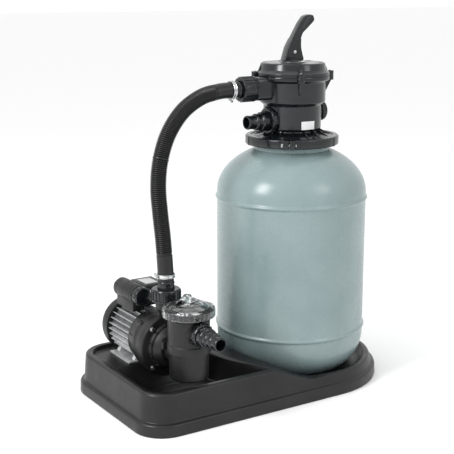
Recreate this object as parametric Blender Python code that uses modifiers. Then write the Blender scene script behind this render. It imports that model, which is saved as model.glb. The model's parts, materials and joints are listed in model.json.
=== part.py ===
"""Pool filter pump set: a strainer pump and a sand filter tank with a multiport valve, on one moulded tray.

Metres, +Z up. The origin is on the floor under the middle of the tray. X runs along the tray, from the
pump to the tank; Y runs across it, and the suction port looks along -Y.
"""
import bpy
import bmesh
import math
from mathutils import Matrix, Vector

# ---------------------------------------------------------------- driving sizes
GAP = 0.0003                 # clearance between pieces that touch
FIT = 0.0003                 # radial clearance of a piece in its bore
TURN_STEPS = 24              # sides of a turned piece; every piece that turns in another has the same number

TRAY_LENGTH = 0.720
TRAY_HALF_WIDTH = 0.212
TRAY_BACK_TAPER = 0.0145     # how far the back edge draws in at the pump end
TRAY_HEIGHT = 0.092
TRAY_CORNER = 0.070
TRAY_BACK_CORNER = 0.088
SKIRT_HEIGHT = 0.028
WALL_INSET = 0.010
RIM_INSET = 0.021
RIM_WIDTH = 0.009
BAY_FLOOR = 0.034
PAD_TOP = 0.083              # top of the motor's pad
PAD_SLOPE = 0.042            # run of the slope in front of it
SHELF_RADIUS = 0.244         # edge of the shelf round the tank, at its top
SHELF_DRAFT = 0.012
COLLAR_TOP = 0.050           # height of the tray round the far side of the tank
RAMP_START = -0.053
RAMP_END = 0.110
POCKET_RADIUS = 0.184
POCKET_FLOOR = 0.030
UNDERSIDE_DEPTH = 0.022
RIB = 0.005
RIB_PITCH_X = 0.115
RIB_PITCH_Y = 0.100
FOOT_BOSS = 0.024

TANK_X = 0.148
TANK_RADIUS = 0.178
TANK_WALL = 0.005
TANK_RIB = 0.0035
RIB_HEIGHT = 0.012
LOWER_RIB_Z = 0.127
UPPER_RIB_Z = 0.440
BOWL_TOP = 0.119
BOWL_DEPTH = 0.1196
DOME_BASE = 0.452
DOME_HEIGHT = 0.1164
NECK_RADIUS = 0.0885
NECK_BORE = 0.074
FLANGE_RADIUS = 0.1000
TANK_FLANGE_TOP = 0.5745
TANK_FLANGE_DEPTH = 0.007

SEAL_THICKNESS = 0.002
CLAMP_RADIUS = 0.111
CLAMP_LIP = 0.0965           # inner radius of the clamp's two lips
CLAMP_LIP_DEPTH = 0.0026
CLAMP_ANGLE = -129.0         # direction of the clamp's front joint, degrees

VALVE_FLANGE_DEPTH = 0.007
VALVE_LOWER_RADIUS = 0.068
VALVE_UPPER_RADIUS = 0.0775
VALVE_RIM_RADIUS = 0.0865
VALVE_SHOULDER_Z = 0.657
VALVE_TOP = 0.7255
SEAT_TOP = 0.668
SEAT_THICKNESS = 0.008
CHAMBER_RADIUS = 0.060
LID_HEIGHT = 0.0298
LID_TOP_RADIUS = 0.0755
LUG_RADIUS = 0.0085
LUG_CIRCLE = VALVE_RIM_RADIUS + 0.003
LUG_COUNT = 4
LUG_ANGLE = -114.0
LUG_SCREW = 0.003
SPINDLE_RADIUS = 0.009
ROTOR_THICKNESS = 0.008
GASKET_THICKNESS = 0.0029
ROTOR_LIFT = 0.008
WASHER_THICKNESS = 0.0015
PIN_HEIGHT = 0.022           # above the spindle washer
PIN_RADIUS = 0.004
HANDLE_WIDTH = 0.031
HANDLE_TIP_WIDTH = 0.024
HANDLE_ANGLE = -15.0         # direction that the handle leans in, degrees
PORT_PUMP_Z = 0.699
PORT_RETURN_Z = 0.622
PORT_WASTE_Z = 0.638

PUMP_X = -0.2216
PUMP_Y = -0.034              # the pump's own origin; its Y sizes below are measured from here
SHAFT_HEIGHT = 0.062         # of the shaft above the pad
CASING_Y = -0.006            # plane of the pump's outlet
MOTOR_FRONT = 0.0670
MOTOR_REAR = 0.1652
MOTOR_TUBE = 0.0505
MOTOR_BORE = 0.0465
FIN_RADIUS = 0.0605
FIN_COUNT = 28
FAN_COVER_RADIUS = 0.0645
FAN_COVER_END = 0.1985
FAN_COVER_WALL = 0.0018
SHAFT_RADIUS = 0.008
BEARING_RADIUS = 0.0155
FOOT_HALF_WIDTH = 0.058
FOOT_FRONT = 0.070
FOOT_REAR = 0.165
FOOT_PLATE = 0.005
PLATE_RADIUS = 0.069         # seal plate and motor bracket
PLATE_THICKNESS = 0.010
CASING_RADIUS = 0.072
CASING_FRONT = -0.020
CASING_BACK = 0.008
VOLUTE_RADIUS = 0.050
VOLUTE_FRONT = -0.048
VOLUTE_CAVITY = 0.046
BOLT_CIRCLE = 0.0635
BOLT_COUNT = 4
BOLT_RADIUS = 0.0025
BOLT_ANGLE = 45.0
DUCT_RADIUS = 0.026
DUCT_BORE = 0.018

POT_Y = -0.104
POT_BOTTOM = 0.0970
POT_TOP = 0.2485
POT_RADIUS = 0.046
POT_BORE = 0.040
POT_BAND = (0.1570, 0.1755)
POT_NECK_RADIUS = 0.050
STRAINER_LID_RADIUS = 0.058
STRAINER_LID_SKIRT = 0.2380
STRAINER_LID_TOP = 0.2670
GRIP_TOP = 0.2820
BASKET_RADIUS = 0.0375
BASKET_BOTTOM = 0.115
INLET_Z = 0.207
OUTLET_NUT_Z = 0.2475
SUCTION_NUT_Y = POT_Y - POT_RADIUS - 0.002

HOSE_RADIUS = 0.0185
BAND_WIDTH = 0.011
BAND_THICKNESS = 0.0012

# ---------------------------------------------------------------- worked-out places
TRAY_LEFT = -TRAY_LENGTH / 2
TANK_AXIS = Vector((TANK_X, 0, 0))
TANK_FLOOR = POCKET_FLOOR + GAP
VALVE_BASE = TANK_FLANGE_TOP + SEAL_THICKNESS + 2 * GAP
LID_BASE = VALVE_TOP + GAP
LID_TOP = VALVE_TOP + LID_HEIGHT
ROTOR_BASE = SEAT_TOP + GASKET_THICKNESS + 2 * GAP
WASHER_BASE = LID_TOP + GAP
HANDLE_BASE = WASHER_BASE + WASHER_THICKNESS + GAP
PIN_Z = HANDLE_BASE + PIN_HEIGHT
SHAFT_Z = PAD_TOP + SHAFT_HEIGHT
PUMP_ORIGIN = Vector((PUMP_X, PUMP_Y, 0))
PUMP_AXIS = Vector((PUMP_X, PUMP_Y, SHAFT_Z))
POT_AXIS = Vector((PUMP_X, PUMP_Y + POT_Y, 0))
PAD_EDGE = PUMP_Y + FOOT_FRONT - 0.008
PAD_REAR = PUMP_Y + MOTOR_REAR - 0.002
PLATE_FRONT = CASING_BACK + GAP
BRACKET_FRONT = PLATE_FRONT + PLATE_THICKNESS + GAP
COVER_FRONT = MOTOR_REAR + GAP

Z_UP = Matrix.Identity(4)
TO_LEFT = Matrix.Rotation(math.radians(-90), 4, "Y")    # local Z becomes -X
TO_RIGHT = Matrix.Rotation(math.radians(90), 4, "Y")    # local Z becomes +X
TO_FRONT = Matrix.Rotation(math.radians(90), 4, "X")    # local Z becomes -Y
TO_BACK = Matrix.Rotation(math.radians(-90), 4, "X")    # local Z becomes +Y


# ---------------------------------------------------------------- scene and materials
for old in list(bpy.data.objects):
    bpy.data.objects.remove(old)
parts = bpy.data.collections.new("pool_filter_pump")
cutters = bpy.data.collections.new("cutters")
bpy.context.scene.collection.children.link(parts)
bpy.context.scene.collection.children.link(cutters)


def material(name, colour, roughness, metallic=0.0):
    made = bpy.data.materials.new(name)
    made.use_nodes = True
    shader = made.node_tree.nodes["Principled BSDF"]
    shader.inputs["Base Color"].default_value = (*colour, 1)
    shader.inputs["Roughness"].default_value = roughness
    shader.inputs["Metallic"].default_value = metallic
    made.diffuse_color = (*colour, 1)
    return made


TRAY_PLASTIC = material("tray_polyethylene", (0.020, 0.020, 0.021), 0.42)
TANK_PLASTIC = material("tank_polyethylene", (0.27, 0.33, 0.33), 0.38)
VALVE_PLASTIC = material("valve_abs", (0.024, 0.030, 0.032), 0.30)
PUMP_PLASTIC = material("pump_polypropylene", (0.030, 0.030, 0.031), 0.48)
CLEAR_PLASTIC = material("clear_polycarbonate", (0.78, 0.80, 0.80), 0.10)
WHITE_PLASTIC = material("white_polypropylene", (0.70, 0.70, 0.68), 0.45)
HOSE_PLASTIC = material("hose_polyethylene", (0.016, 0.016, 0.017), 0.50)
RUBBER = material("nitrile_rubber", (0.010, 0.010, 0.010), 0.70)
STEEL = material("stainless_steel", (0.60, 0.60, 0.61), 0.25, 1.0)
ALUMINIUM = material("cast_aluminium", (0.62, 0.62, 0.63), 0.45, 1.0)
BLACK_PAINT = material("black_painted_steel", (0.022, 0.022, 0.023), 0.50)
IRON = material("laminated_iron", (0.22, 0.20, 0.19), 0.55, 1.0)


# ---------------------------------------------------------------- shape helpers
def place(shape, collection, finish=None):
    collection.objects.link(shape)
    if finish is not None:
        shape.data.materials.append(finish)
    if collection is cutters:
        shape.hide_render = True
        shape.display_type = "WIRE"
    return shape


def from_bmesh(name, bm, where=Z_UP, finish=None, smooth=False):
    mesh = bpy.data.meshes.new(name)
    bm.to_mesh(mesh)
    bm.free()
    if smooth:
        mesh.shade_smooth()
        mesh.set_sharp_from_angle(angle=math.radians(35))
    shape = bpy.data.objects.new(name, mesh)
    shape.matrix_world = where
    return place(shape, parts if finish is not None else cutters, finish)


def turned(name, profile, where=Z_UP, finish=None, steps=TURN_STEPS, closed=True):
    """Turn an (r, z) outline round local Z; it runs down the outer side, top to bottom."""
    bm = bmesh.new()
    points = [bm.verts.new((r, 0, z)) for r, z in profile]
    for first, second in zip(points, points[1:]):
        bm.edges.new((first, second))
    if closed:
        bm.edges.new((points[-1], points[0]))
    shape = from_bmesh(name, bm, where, finish)
    screw = shape.modifiers.new("turn", "SCREW")
    screw.steps = steps
    screw.render_steps = steps
    screw.use_merge_vertices = True
    screw.merge_threshold = 0.00005
    screw.use_smooth_shade = True
    return shape


def rod_mesh(bm, radius, low, high, centre=(0, 0), steps=12):
    """Add a cylinder along local Z, its first corner on local +X."""
    middle = Matrix.Translation((centre[0], centre[1], (low + high) / 2)) @ Matrix.Rotation(math.radians(-90), 4, "Z")
    bmesh.ops.create_cone(bm, cap_ends=True, segments=steps, radius1=radius, radius2=radius,
                          depth=high - low, matrix=middle)


def rod(name, radius, low, high, where=Z_UP, finish=None, steps=12):
    bm = bmesh.new()
    rod_mesh(bm, radius, low, high, steps=steps)
    return from_bmesh(name, bm, where, finish, smooth=True)


def block_mesh(bm, low, high, turn=Z_UP):
    """Add a box between two corners, then turn it about the local origin."""
    size = Vector(high) - Vector(low)
    middle = (Vector(high) + Vector(low)) / 2
    bmesh.ops.create_cube(bm, size=1, matrix=turn @ Matrix.Translation(middle) @ Matrix.Diagonal((*size, 1)))


def block(name, low, high, where=Z_UP, finish=None):
    bm = bmesh.new()
    block_mesh(bm, low, high)
    return from_bmesh(name, bm, where, finish)


def plate(name, outline, low, high, where=Z_UP, finish=None, holes=()):
    """Extrude a flat outline from low to high along local Z, leaving out the holes' outlines."""
    curve = bpy.data.curves.new(name, "CURVE")
    curve.dimensions = "2D"
    curve.fill_mode = "BOTH"
    curve.extrude = (high - low) / 2
    for loop in (outline, *holes):
        spline = curve.splines.new("POLY")
        spline.points.add(len(loop) - 1)
        for point, (x, y) in zip(spline.points, loop):
            point.co = (x, y, 0, 1)
        spline.use_cyclic_u = True
    flat = bpy.data.objects.new(name + "_outline", curve)
    cutters.objects.link(flat)
    evaluated = flat.evaluated_get(bpy.context.evaluated_depsgraph_get())
    mesh = bpy.data.meshes.new_from_object(evaluated)
    bpy.data.objects.remove(flat)
    bm = bmesh.new()
    bm.from_mesh(mesh)
    bpy.data.meshes.remove(mesh)
    bmesh.ops.remove_doubles(bm, verts=bm.verts, dist=0.00002)
    bmesh.ops.translate(bm, verts=bm.verts, vec=(0, 0, (low + high) / 2))
    bmesh.ops.recalc_face_normals(bm, faces=bm.faces)
    return from_bmesh(name, bm, where, finish)


def combine(shape, other, operation):
    step = shape.modifiers.new(operation.lower(), "BOOLEAN")
    step.operation = operation
    step.solver = "EXACT"
    step.object = other
    return shape


def cut(shape, *others):
    for other in others:
        combine(shape, other, "DIFFERENCE")
    return shape


def join(shape, *others):
    for other in others:
        combine(shape, other, "UNION")
    return shape


def ring_of(count, radius, start=0.0):
    """Centres of count places evenly round a circle."""
    for index in range(count):
        angle = math.radians(start + 360 * index / count)
        yield index, angle, (radius * math.cos(angle), radius * math.sin(angle))


def rods_round(name, count, circle, radius, low, high, where, finish=None, start=0.0, steps=8):
    """Equal cylinders round a circle, as one object."""
    bm = bmesh.new()
    for _, _, centre in ring_of(count, circle, start):
        rod_mesh(bm, radius, low, high, centre, steps)
    return from_bmesh(name, bm, where, finish, smooth=True)


def bolt(name, where, shank, head, shank_low, head_low, head_high):
    """A screw along local Z, its head at the top, as one solid."""
    return turned(name, [(0, head_high), (head, head_high), (head, head_low), (shank, head_low),
                         (shank, shank_low), (0, shank_low)], where, STEEL, 8, closed=False)


def arc(centre, radius, first, last, count):
    """Points on an arc in its plane, angles in degrees."""
    for index in range(count):
        angle = math.radians(first + (last - first) * index / (count - 1))
        yield (centre[0] + radius * math.cos(angle), centre[1] + radius * math.sin(angle))


def rounded(points, radius, count=4):
    """Round the corners of a closed outline."""
    made = []
    for index, corner in enumerate(points):
        here = Vector(corner)
        before = Vector(points[index - 1]) - here
        after = Vector(points[(index + 1) % len(points)]) - here
        reach = min(radius, before.length * 0.45, after.length * 0.45)
        start = here + before.normalized() * reach
        end = here + after.normalized() * reach
        for step in range(count):
            t = step / (count - 1)
            made.append(tuple((1 - t) ** 2 * start + 2 * t * (1 - t) * here + t * t * end))
    return made


# ---------------------------------------------------------------- tray
def tray_outline(inset):
    """Plan of the tray, anticlockwise: a round tank end and two rounded pump corners."""
    radius = TRAY_HALF_WIDTH - inset
    front_corner = TRAY_CORNER - inset
    back_corner = TRAY_BACK_CORNER - inset
    left = TRAY_LEFT + inset
    back = radius - TRAY_BACK_TAPER
    points = list(arc((TANK_X, 0), radius, -90, 90, 21))
    points += arc((left + back_corner, back - back_corner), back_corner, 90, 180, 6)
    points += arc((left + front_corner, -radius + front_corner), front_corner, 180, 270, 6)
    return points


def loft(name, sections, where=Z_UP, finish=None):
    """Skin a stack of equal-length closed outlines, given as (outline, z) from bottom to top."""
    bm = bmesh.new()
    loops = [[bm.verts.new((x, y, z)) for x, y in outline] for outline, z in sections]
    for lower, upper in zip(loops, loops[1:]):
        for index in range(len(lower)):
            after = (index + 1) % len(lower)
            bm.faces.new((lower[index], lower[after], upper[after], upper[index]))
    bm.faces.new(list(reversed(loops[0])))
    bm.faces.new(loops[-1])
    return from_bmesh(name, bm, where, finish, smooth=True)


def build_tray():
    wall_foot = SKIRT_HEIGHT + 0.003
    sections = [
        (0.0010, 0.0), (0.0, 0.002), (0.0030, SKIRT_HEIGHT - 0.003), (0.0060, SKIRT_HEIGHT),
        (WALL_INSET + 0.001, SKIRT_HEIGHT + 0.0005), (WALL_INSET, wall_foot),
        (RIM_INSET - 0.006, TRAY_HEIGHT - 0.007), (RIM_INSET, TRAY_HEIGHT),
    ]
    tray = loft("base_tray", [(tray_outline(inset), z) for inset, z in sections], finish=TRAY_PLASTIC)

    # The top falls from the pump end's rim to the low collar round the tank.
    fall = TRAY_HEIGHT - COLLAR_TOP
    ramp = [(RAMP_START, TRAY_HEIGHT + 0.05), (TRAY_LENGTH, TRAY_HEIGHT + 0.05), (TRAY_LENGTH, COLLAR_TOP)]
    for index in range(9):
        t = 1 - index / 8
        drop = math.sin(t * math.pi / 2) ** 1.1
        ramp.append((RAMP_START + (RAMP_END - RAMP_START) * t, TRAY_HEIGHT + 0.0001 - fall * drop))
    cut(tray, plate("ramp_cut", ramp, -0.3, 0.3, Matrix.Rotation(math.radians(90), 4, "X")))

    # The pump's bay, open above, between the rim and the shelf that the tank stands in.
    rim = RIM_INSET + RIM_WIDTH
    bay = loft("bay_cut", [(tray_outline(rim + 0.006), BAY_FLOOR), (tray_outline(rim), TRAY_HEIGHT),
                           (tray_outline(rim - 0.001), TRAY_HEIGHT + 0.02)])
    shelf_high = TRAY_HEIGHT + 0.03
    slope = SHELF_DRAFT / (TRAY_HEIGHT - BAY_FLOOR)
    shelf = turned("shelf_cut", [
        (0, shelf_high), (SHELF_RADIUS - slope * 0.03, shelf_high),
        (SHELF_RADIUS + SHELF_DRAFT * 1.1, BAY_FLOOR - 0.1 * (TRAY_HEIGHT - BAY_FLOOR)),
        (0, BAY_FLOOR - 0.1 * (TRAY_HEIGHT - BAY_FLOOR))],
        Matrix.Translation(TANK_AXIS), steps=36, closed=False)
    tank_side = block("tank_side_cut", (TANK_X - 0.06, -0.3, 0), (TRAY_LENGTH, 0.3, 0.3))
    pad = plate("pad_cut", [(PAD_EDGE - PAD_SLOPE, BAY_FLOOR - 0.0001), (PAD_REAR, BAY_FLOOR - 0.0001),
                            (PAD_REAR, PAD_TOP), (PAD_EDGE, PAD_TOP)], -0.4, 0.4,
                Matrix(((0, 0, 1, 0), (1, 0, 0, 0), (0, 1, 0, 0), (0, 0, 0, 1))))
    cut(bay, shelf, tank_side, pad)
    cut(tray, bay)

    # The tank's pocket.
    cut(tray, turned("pocket_cut", [
        (0, TRAY_HEIGHT + 0.02), (POCKET_RADIUS + 0.003, TRAY_HEIGHT + 0.02),
        (POCKET_RADIUS - 0.003, COLLAR_TOP - 0.004), (POCKET_RADIUS - 0.014, POCKET_FLOOR + 0.004),
        (POCKET_RADIUS - 0.020, POCKET_FLOOR), (0, POCKET_FLOOR)],
        Matrix.Translation(TANK_AXIS), steps=28, closed=False))

    # Ribbed cells under the floor, with a solid boss under the middle.
    bm = bmesh.new()
    columns = int(TRAY_LENGTH / 2 // RIB_PITCH_X) + 1
    rows = int(TRAY_HALF_WIDTH // RIB_PITCH_Y) + 1
    for column in range(-columns, columns):
        for row in range(-rows, rows):
            block_mesh(bm, (column * RIB_PITCH_X + RIB / 2, row * RIB_PITCH_Y + RIB / 2, -0.01),
                       ((column + 1) * RIB_PITCH_X - RIB / 2, (row + 1) * RIB_PITCH_Y - RIB / 2, UNDERSIDE_DEPTH))
    cells = from_bmesh("cell_cut", bm)
    inside = WALL_INSET + RIB
    keep = loft("cell_limit", [(tray_outline(inside), -0.02), (tray_outline(inside), 0.2)])
    combine(cells, keep, "INTERSECT")
    cut(cells, rod("boss_cut", FOOT_BOSS, -0.03, 0.1))
    cut(tray, cells)

    # Two deep cells under the pump's pad and one under the shelf.
    bm = bmesh.new()
    for low, high in ((-0.295, -0.200), (-0.190, -0.095)):
        block_mesh(bm, (low, PAD_EDGE + 0.008, -0.01), (high, PAD_REAR - 0.008, PAD_TOP - RIB - 0.004))
    shelf_low = TANK_X - SHELF_RADIUS + 0.008
    shelf_reach = TANK_X - POCKET_RADIUS - 0.010
    block_mesh(bm, (shelf_low + 0.006, -0.062, -0.01), (shelf_reach, 0.062, TRAY_HEIGHT - RIB - 0.004))
    cut(tray, from_bmesh("deep_cell_cut", bm))

    return tray


# ---------------------------------------------------------------- tank
def oval(radius, height, z, sign, start, end, count, power):
    """Quarter superellipse in (r, z): height away from z at r = 0, and radius at z."""
    for index in range(count):
        t = start + (end - start) * index / (count - 1)
        r = radius * math.cos(t) ** (2 / power)
        yield (r, z + sign * height * math.sin(t) ** (2 / power))


def tank_profile(inset):
    """Outer (inset 0) or inner outline of the tank, top to bottom, without ribs."""
    count = 7 if inset == 0 else 4
    radius = TANK_RADIUS - inset
    rise = DOME_HEIGHT - inset
    neck = NECK_RADIUS if inset == 0 else NECK_BORE
    top = math.acos(neck / radius)
    dome = list(oval(radius, rise, DOME_BASE, 1, top, 0, count, 2))
    floor = TANK_FLOOR + inset
    depth = BOWL_DEPTH - inset
    power = 2.4
    bottom = math.asin(((BOWL_TOP - floor) / depth) ** (power / 2))
    bowl = list(oval(radius, depth, BOWL_TOP, -1, 0, bottom, count, power))
    return dome, bowl


def rib_steps(z):
    """A rounded rib on the tank's wall, top to bottom."""
    half = RIB_HEIGHT / 2
    ridge = TANK_RADIUS + TANK_RIB
    return [(TANK_RADIUS, z + half), (ridge, z + half * 0.45), (ridge, z - half * 0.45), (TANK_RADIUS, z - half)]


def build_tank():
    dome, bowl = tank_profile(0)
    inner_dome, inner_bowl = tank_profile(TANK_WALL)
    flange_bottom = TANK_FLANGE_TOP - TANK_FLANGE_DEPTH
    outer = [(FLANGE_RADIUS, TANK_FLANGE_TOP), (FLANGE_RADIUS, flange_bottom),
             (NECK_RADIUS + 0.004, flange_bottom), (NECK_RADIUS, flange_bottom - 0.003)]
    outer += dome + rib_steps(UPPER_RIB_Z) + rib_steps(LOWER_RIB_Z) + bowl
    inner = list(reversed(inner_dome + inner_bowl)) + [(NECK_BORE, TANK_FLANGE_TOP)]
    profile = outer + [(0, TANK_FLOOR), (0, TANK_FLOOR + TANK_WALL)] + inner
    # The neck's bore closes the outline at the flange's top face.
    turned("tank_shell", profile, Matrix.Translation(TANK_AXIS), TANK_PLASTIC, 30)

    hub_radius = 0.034
    hub_low = TANK_FLOOR + TANK_WALL + GAP
    hub_high = hub_low + 0.040
    pipe_radius = 0.025
    pipe_wall = 0.003
    pipe_low = hub_low + 0.020
    lateral_z = hub_low + 0.011
    hub = turned("lateral_drains", [
        (hub_radius, hub_high), (hub_radius, hub_low), (0, hub_low), (0, pipe_low - GAP),
        (pipe_radius + FIT, pipe_low - GAP), (pipe_radius + FIT, hub_high)],
        Matrix.Translation(TANK_AXIS), WHITE_PLASTIC, 12)
    count = 8
    arm_start = 0.028
    arm_end = TANK_RADIUS - 0.060
    bm = bmesh.new()
    for _, angle, _ in ring_of(count, 1.0, 22.5):
        out = Matrix.Rotation(angle, 4, "Z") @ Matrix.Translation((0, 0, lateral_z)) @ TO_RIGHT
        arm = bmesh.ops.create_cone(bm, cap_ends=True, segments=10, radius1=0.008, radius2=0.008,
                                    depth=arm_end - arm_start)
        bmesh.ops.transform(bm, matrix=out @ Matrix.Translation((0, 0, (arm_start + arm_end) / 2)), verts=arm["verts"])
    join(hub, from_bmesh("lateral_arms", bm, Matrix.Translation(TANK_AXIS)))

    pipe_high = SEAT_TOP - SEAT_THICKNESS - GAP
    turned("standpipe", [
        (pipe_radius, pipe_high), (pipe_radius, pipe_low), (pipe_radius - pipe_wall, pipe_low),
        (pipe_radius - pipe_wall, pipe_high)], Matrix.Translation(TANK_AXIS), WHITE_PLASTIC, 12)


# ---------------------------------------------------------------- clamp
def build_clamp():
    low = TANK_FLANGE_TOP - TANK_FLANGE_DEPTH - GAP - CLAMP_LIP_DEPTH
    high = VALVE_BASE + VALVE_FLANGE_DEPTH + GAP + CLAMP_LIP_DEPTH
    groove = FLANGE_RADIUS + 0.0012
    section = [
        (CLAMP_RADIUS, high), (CLAMP_RADIUS, low), (CLAMP_LIP, low), (CLAMP_LIP, low + CLAMP_LIP_DEPTH),
        (groove, low + CLAMP_LIP_DEPTH), (groove, high - CLAMP_LIP_DEPTH), (CLAMP_LIP, high - CLAMP_LIP_DEPTH),
        (CLAMP_LIP, high)]
    axis = Matrix.Translation(TANK_AXIS) @ Matrix.Rotation(math.radians(CLAMP_ANGLE), 4, "Z")
    middle = (low + high) / 2
    lug_half = 0.014
    lug_out = CLAMP_RADIUS + 0.010
    lug_in = CLAMP_RADIUS - 0.004
    split = 0.0010
    hole = LUG_SCREW + FIT
    for name, side in (("clamp_half_left", -1), ("clamp_half_right", 1)):
        half = turned(name, section, axis, VALVE_PLASTIC, 28)
        bm = bmesh.new()
        for end in (-1, 1):
            block_mesh(bm, (min(end * lug_out, end * lug_in), -lug_half, low),
                       (max(end * lug_out, end * lug_in), lug_half, high))
        join(half, from_bmesh(name + "_lugs", bm, axis))
        far = 0.2
        if side < 0:
            keep_out = block(name + "_split_cut", (-far, -split / 2, low - 0.01), (far, far, high + 0.01), axis)
        else:
            keep_out = block(name + "_split_cut", (-far, -far, low - 0.01), (far, split / 2, high + 0.01), axis)
        cut(half, keep_out, clamp_rods(name + "_hole_cut", hole, -0.03, 0.03, middle, axis))
    for name, end in (("clamp_bolt_front", 1), ("clamp_bolt_rear", -1)):
        across = axis @ Matrix.Translation((end * (CLAMP_RADIUS + 0.005), 0, middle)) @ TO_FRONT
        bolt(name, across, LUG_SCREW, 0.0050, -0.0170, lug_half + GAP, lug_half + 0.0045)


def clamp_rods(name, radius, low, high, z, axis):
    """A rod across each of the clamp's two joints."""
    bm = bmesh.new()
    for end in (-1, 1):
        across = Matrix.Translation((end * (CLAMP_RADIUS + 0.005), 0, z)) @ TO_BACK
        middle = across @ Matrix.Translation((0, 0, (low + high) / 2))
        bmesh.ops.create_cone(bm, cap_ends=True, segments=8, radius1=radius, radius2=radius,
                              depth=high - low, matrix=middle)
    return from_bmesh(name, bm, axis)


# ---------------------------------------------------------------- unions
def union_joint(nut_name, tail_name, base, port):
    """Nut and tail on a threaded stub that ends at local z = 0, in a port's sizes."""
    thread = port["thread"]
    bore = port["bore"]
    steps = port["tail"]
    flange_high = GAP + TAIL_FLANGE
    lip_low = flange_high + GAP
    face = lip_low + port["lip"]
    back = face - port["nut_length"]
    opening = steps[0][1] + 0.0005
    turned(nut_name, [
        (port["nut"], face), (port["nut"], back), (thread + FIT, back), (thread + FIT, lip_low),
        (opening, lip_low), (opening, face)], base, VALVE_PLASTIC)
    outer = []
    starts = [flange_high] + [face + length for length, _ in steps[:-1]]
    for (length, radius), start in reversed(list(zip(steps, starts))):
        outer += [(radius, face + length), (radius, start)]
    end = face + steps[-1][0]
    turned(tail_name, outer + [(thread, flange_high), (thread, GAP), (bore, GAP), (bore, end)],
           base, VALVE_PLASTIC)


PORT_LIP = 0.006
SMALL_LIP = 0.004
TAIL_FLANGE = 0.006
PUMP_PORT = dict(face_x=-0.002, nut_length=0.037, thread=0.0245, nut=0.0295, lip=PORT_LIP,
                 tail=[(0.0087, 0.0195)], bore=0.015)
RETURN_PORT = dict(face_x=0.0735, nut_length=0.0145, thread=0.0275, nut=0.0330, lip=SMALL_LIP,
                   tail=[(0.0185, 0.0225), (0.0335, 0.0195), (0.0555, 0.0165)], bore=0.0125)
OUTLET = dict(nut_length=0.027, thread=0.0280, nut=0.0340, lip=PORT_LIP, tail=[(0.017, 0.0195)], bore=0.015)
SUCTION = dict(nut_length=0.017, thread=0.0240, nut=0.0270, lip=SMALL_LIP,
               tail=[(0.017, 0.0225), (0.031, 0.0195), (0.046, 0.0175), (0.0645, 0.0155)], bore=0.0120)


def stub_end(port):
    """How far the threaded stub's end lies inside the nut's face."""
    return GAP + TAIL_FLANGE + GAP + port["lip"]


def fit_union(names, face_point, turn, port):
    """Put a union's pieces at a point on the nut's outer face, looking along local Z."""
    union_joint(*names, Matrix.Translation(face_point) @ turn @ Matrix.Translation((0, 0, -stub_end(port))), port)


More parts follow.
